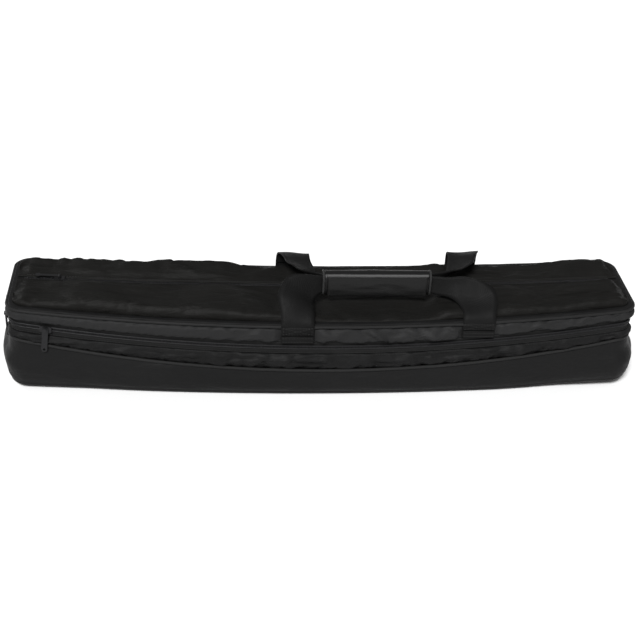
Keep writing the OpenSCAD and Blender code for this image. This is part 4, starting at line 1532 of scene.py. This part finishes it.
def build_flap_binding():
    """The rolled edge along the flap's top, a little longer than the flap and slightly uneven."""
    overhang, unevenness, count = 0.001, 0.0004, 60
    lo, hi = low("flap_binding"), high("flap_binding")
    radius = (hi.z - lo.z) / 2
    x = np.linspace(lo.x - overhang, hi.x + overhang, count)
    path = np.column_stack([x, np.full(count, (lo.y + hi.y) / 2), np.full(count, (lo.z + hi.z) / 2)])
    path[:, 2] += unevenness * wobble(path, 0.03, 2.0, 1)
    across, up = same_way(path, Y_AXIS), same_way(path, Z_AXIS)
    section = round_section(radius, 12, 1.15)
    # The binding cloth is painted light, as a painted highlight along the flap's top.
    binding = tube_piece("flap_binding.roll", path, across, up, section, WRAP_BINDING_PAINTED_HIGHLIGHT)
    finish_piece(binding, "flap", ["flap_binding"])


# ---------------------------------------------------------------- metal parts
def build_metal():
    """The sliders and pulls keep their CAD shape, with softened edges and a painted finish."""
    for name in ("front_slider", "front_pull", "end_slider", "end_pull", "pocket_slider", "pocket_pull"):
        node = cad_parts[name]
        node.data.materials.clear()
        node.data.materials.append(METAL)
        for face in node.data.polygons:
            face.material_index = 0
        bevel = node.modifiers.new("soft edges", "BEVEL")
        bevel.width = 0.0003
        bevel.segments = 2
        bevel.limit_method = "ANGLE"


# ---------------------------------------------------------------- stage
SKY_STRENGTH = 0.29


def build_stage():
    """A plain pale floor under an even white sky."""
    floor_material, t, shader = new_material("floor_paint", Roughness=0.9)
    place = t.add("ShaderNodeTexCoord").outputs["Object"]
    tone = t.between(t.noise(place, 3.0), 0, 1, 0.9, 0.93)
    grey = t.add("ShaderNodeCombineColor", {0: tone, 1: tone, 2: tone})
    t.give(shader.inputs["Base Color"], grey.outputs[0])
    reach, z = 9, -0.0005
    corners = [(-reach, -reach, z), (reach, -reach, z), (reach, reach, z), (-reach, reach, z)]
    floor = add_piece("floor", corners, [(0, 1, 2, 3)], floor_material)
    world = bpy.data.worlds.new("studio")
    world.use_nodes = True
    sky = world.node_tree.nodes["Background"].inputs
    sky["Color"].default_value = (1, 1, 1, 1)
    sky["Strength"].default_value = SKY_STRENGTH
    bpy.context.scene.world = world


def add_sun(name, place, strength, softness):
    """A soft sun that shines from the given direction. softness is its width in degrees."""
    light = bpy.data.lights.new(name, "SUN")
    light.energy = strength
    light.angle = math.radians(softness)
    lamp = place_object(name, light)
    lamp.rotation_euler = (-Vector(place)).to_track_quat("-Z", "Y").to_euler()


def build_camera():
    """The camera looks down on the case's front from a little to the left of its middle."""
    yaw, pitch, roll = math.radians(6), math.radians(32), math.radians(3.2)
    distance = 2.0
    ahead = Vector((math.sin(yaw) * math.cos(pitch), math.cos(yaw) * math.cos(pitch), -math.sin(pitch)))
    right = Vector((math.cos(yaw), -math.sin(yaw), 0))
    up = right.cross(ahead)
    turned_right = right * math.cos(roll) + up * math.sin(roll)
    turned_up = up * math.cos(roll) - right * math.sin(roll)
    aim = Vector((0, 0.005, 0.065)) - turned_right * 0.003 + turned_up * 0.011
    lens = bpy.data.cameras.new("camera")
    lens.sensor_width = 36
    lens.angle = math.radians(28.3)
    camera = place_object("camera", lens)
    camera.matrix_world = Matrix.Translation(aim - ahead * distance) @ Matrix(
        (turned_right, turned_up, -ahead)
    ).transposed().to_4x4()
    bpy.context.scene.camera = camera


build_tray_cover()
build_gusset()
build_tray_trim()
build_hinge()
build_zip_tabs()
build_tray_inside()
build_tray_lining()
build_tie_straps()
build_lid_band()
build_lid_top()
build_lid_trim()
build_lid_inside()
build_pocket()
build_straps()
build_wrap()
build_wrap_trim()
build_flap()
build_flap_binding()
build_metal()
build_stage()
add_sun("key", (-0.35, -1.0, 1.2), strength=3.9, softness=16)
add_sun("rake", (-1.0, 0.9, 0.6), strength=0.8, softness=20)
build_camera()
for shape in (STITCH, TOOTH):
    bpy.data.objects.remove(shape)
bpy.context.scene.view_settings.view_transform = "Standard"
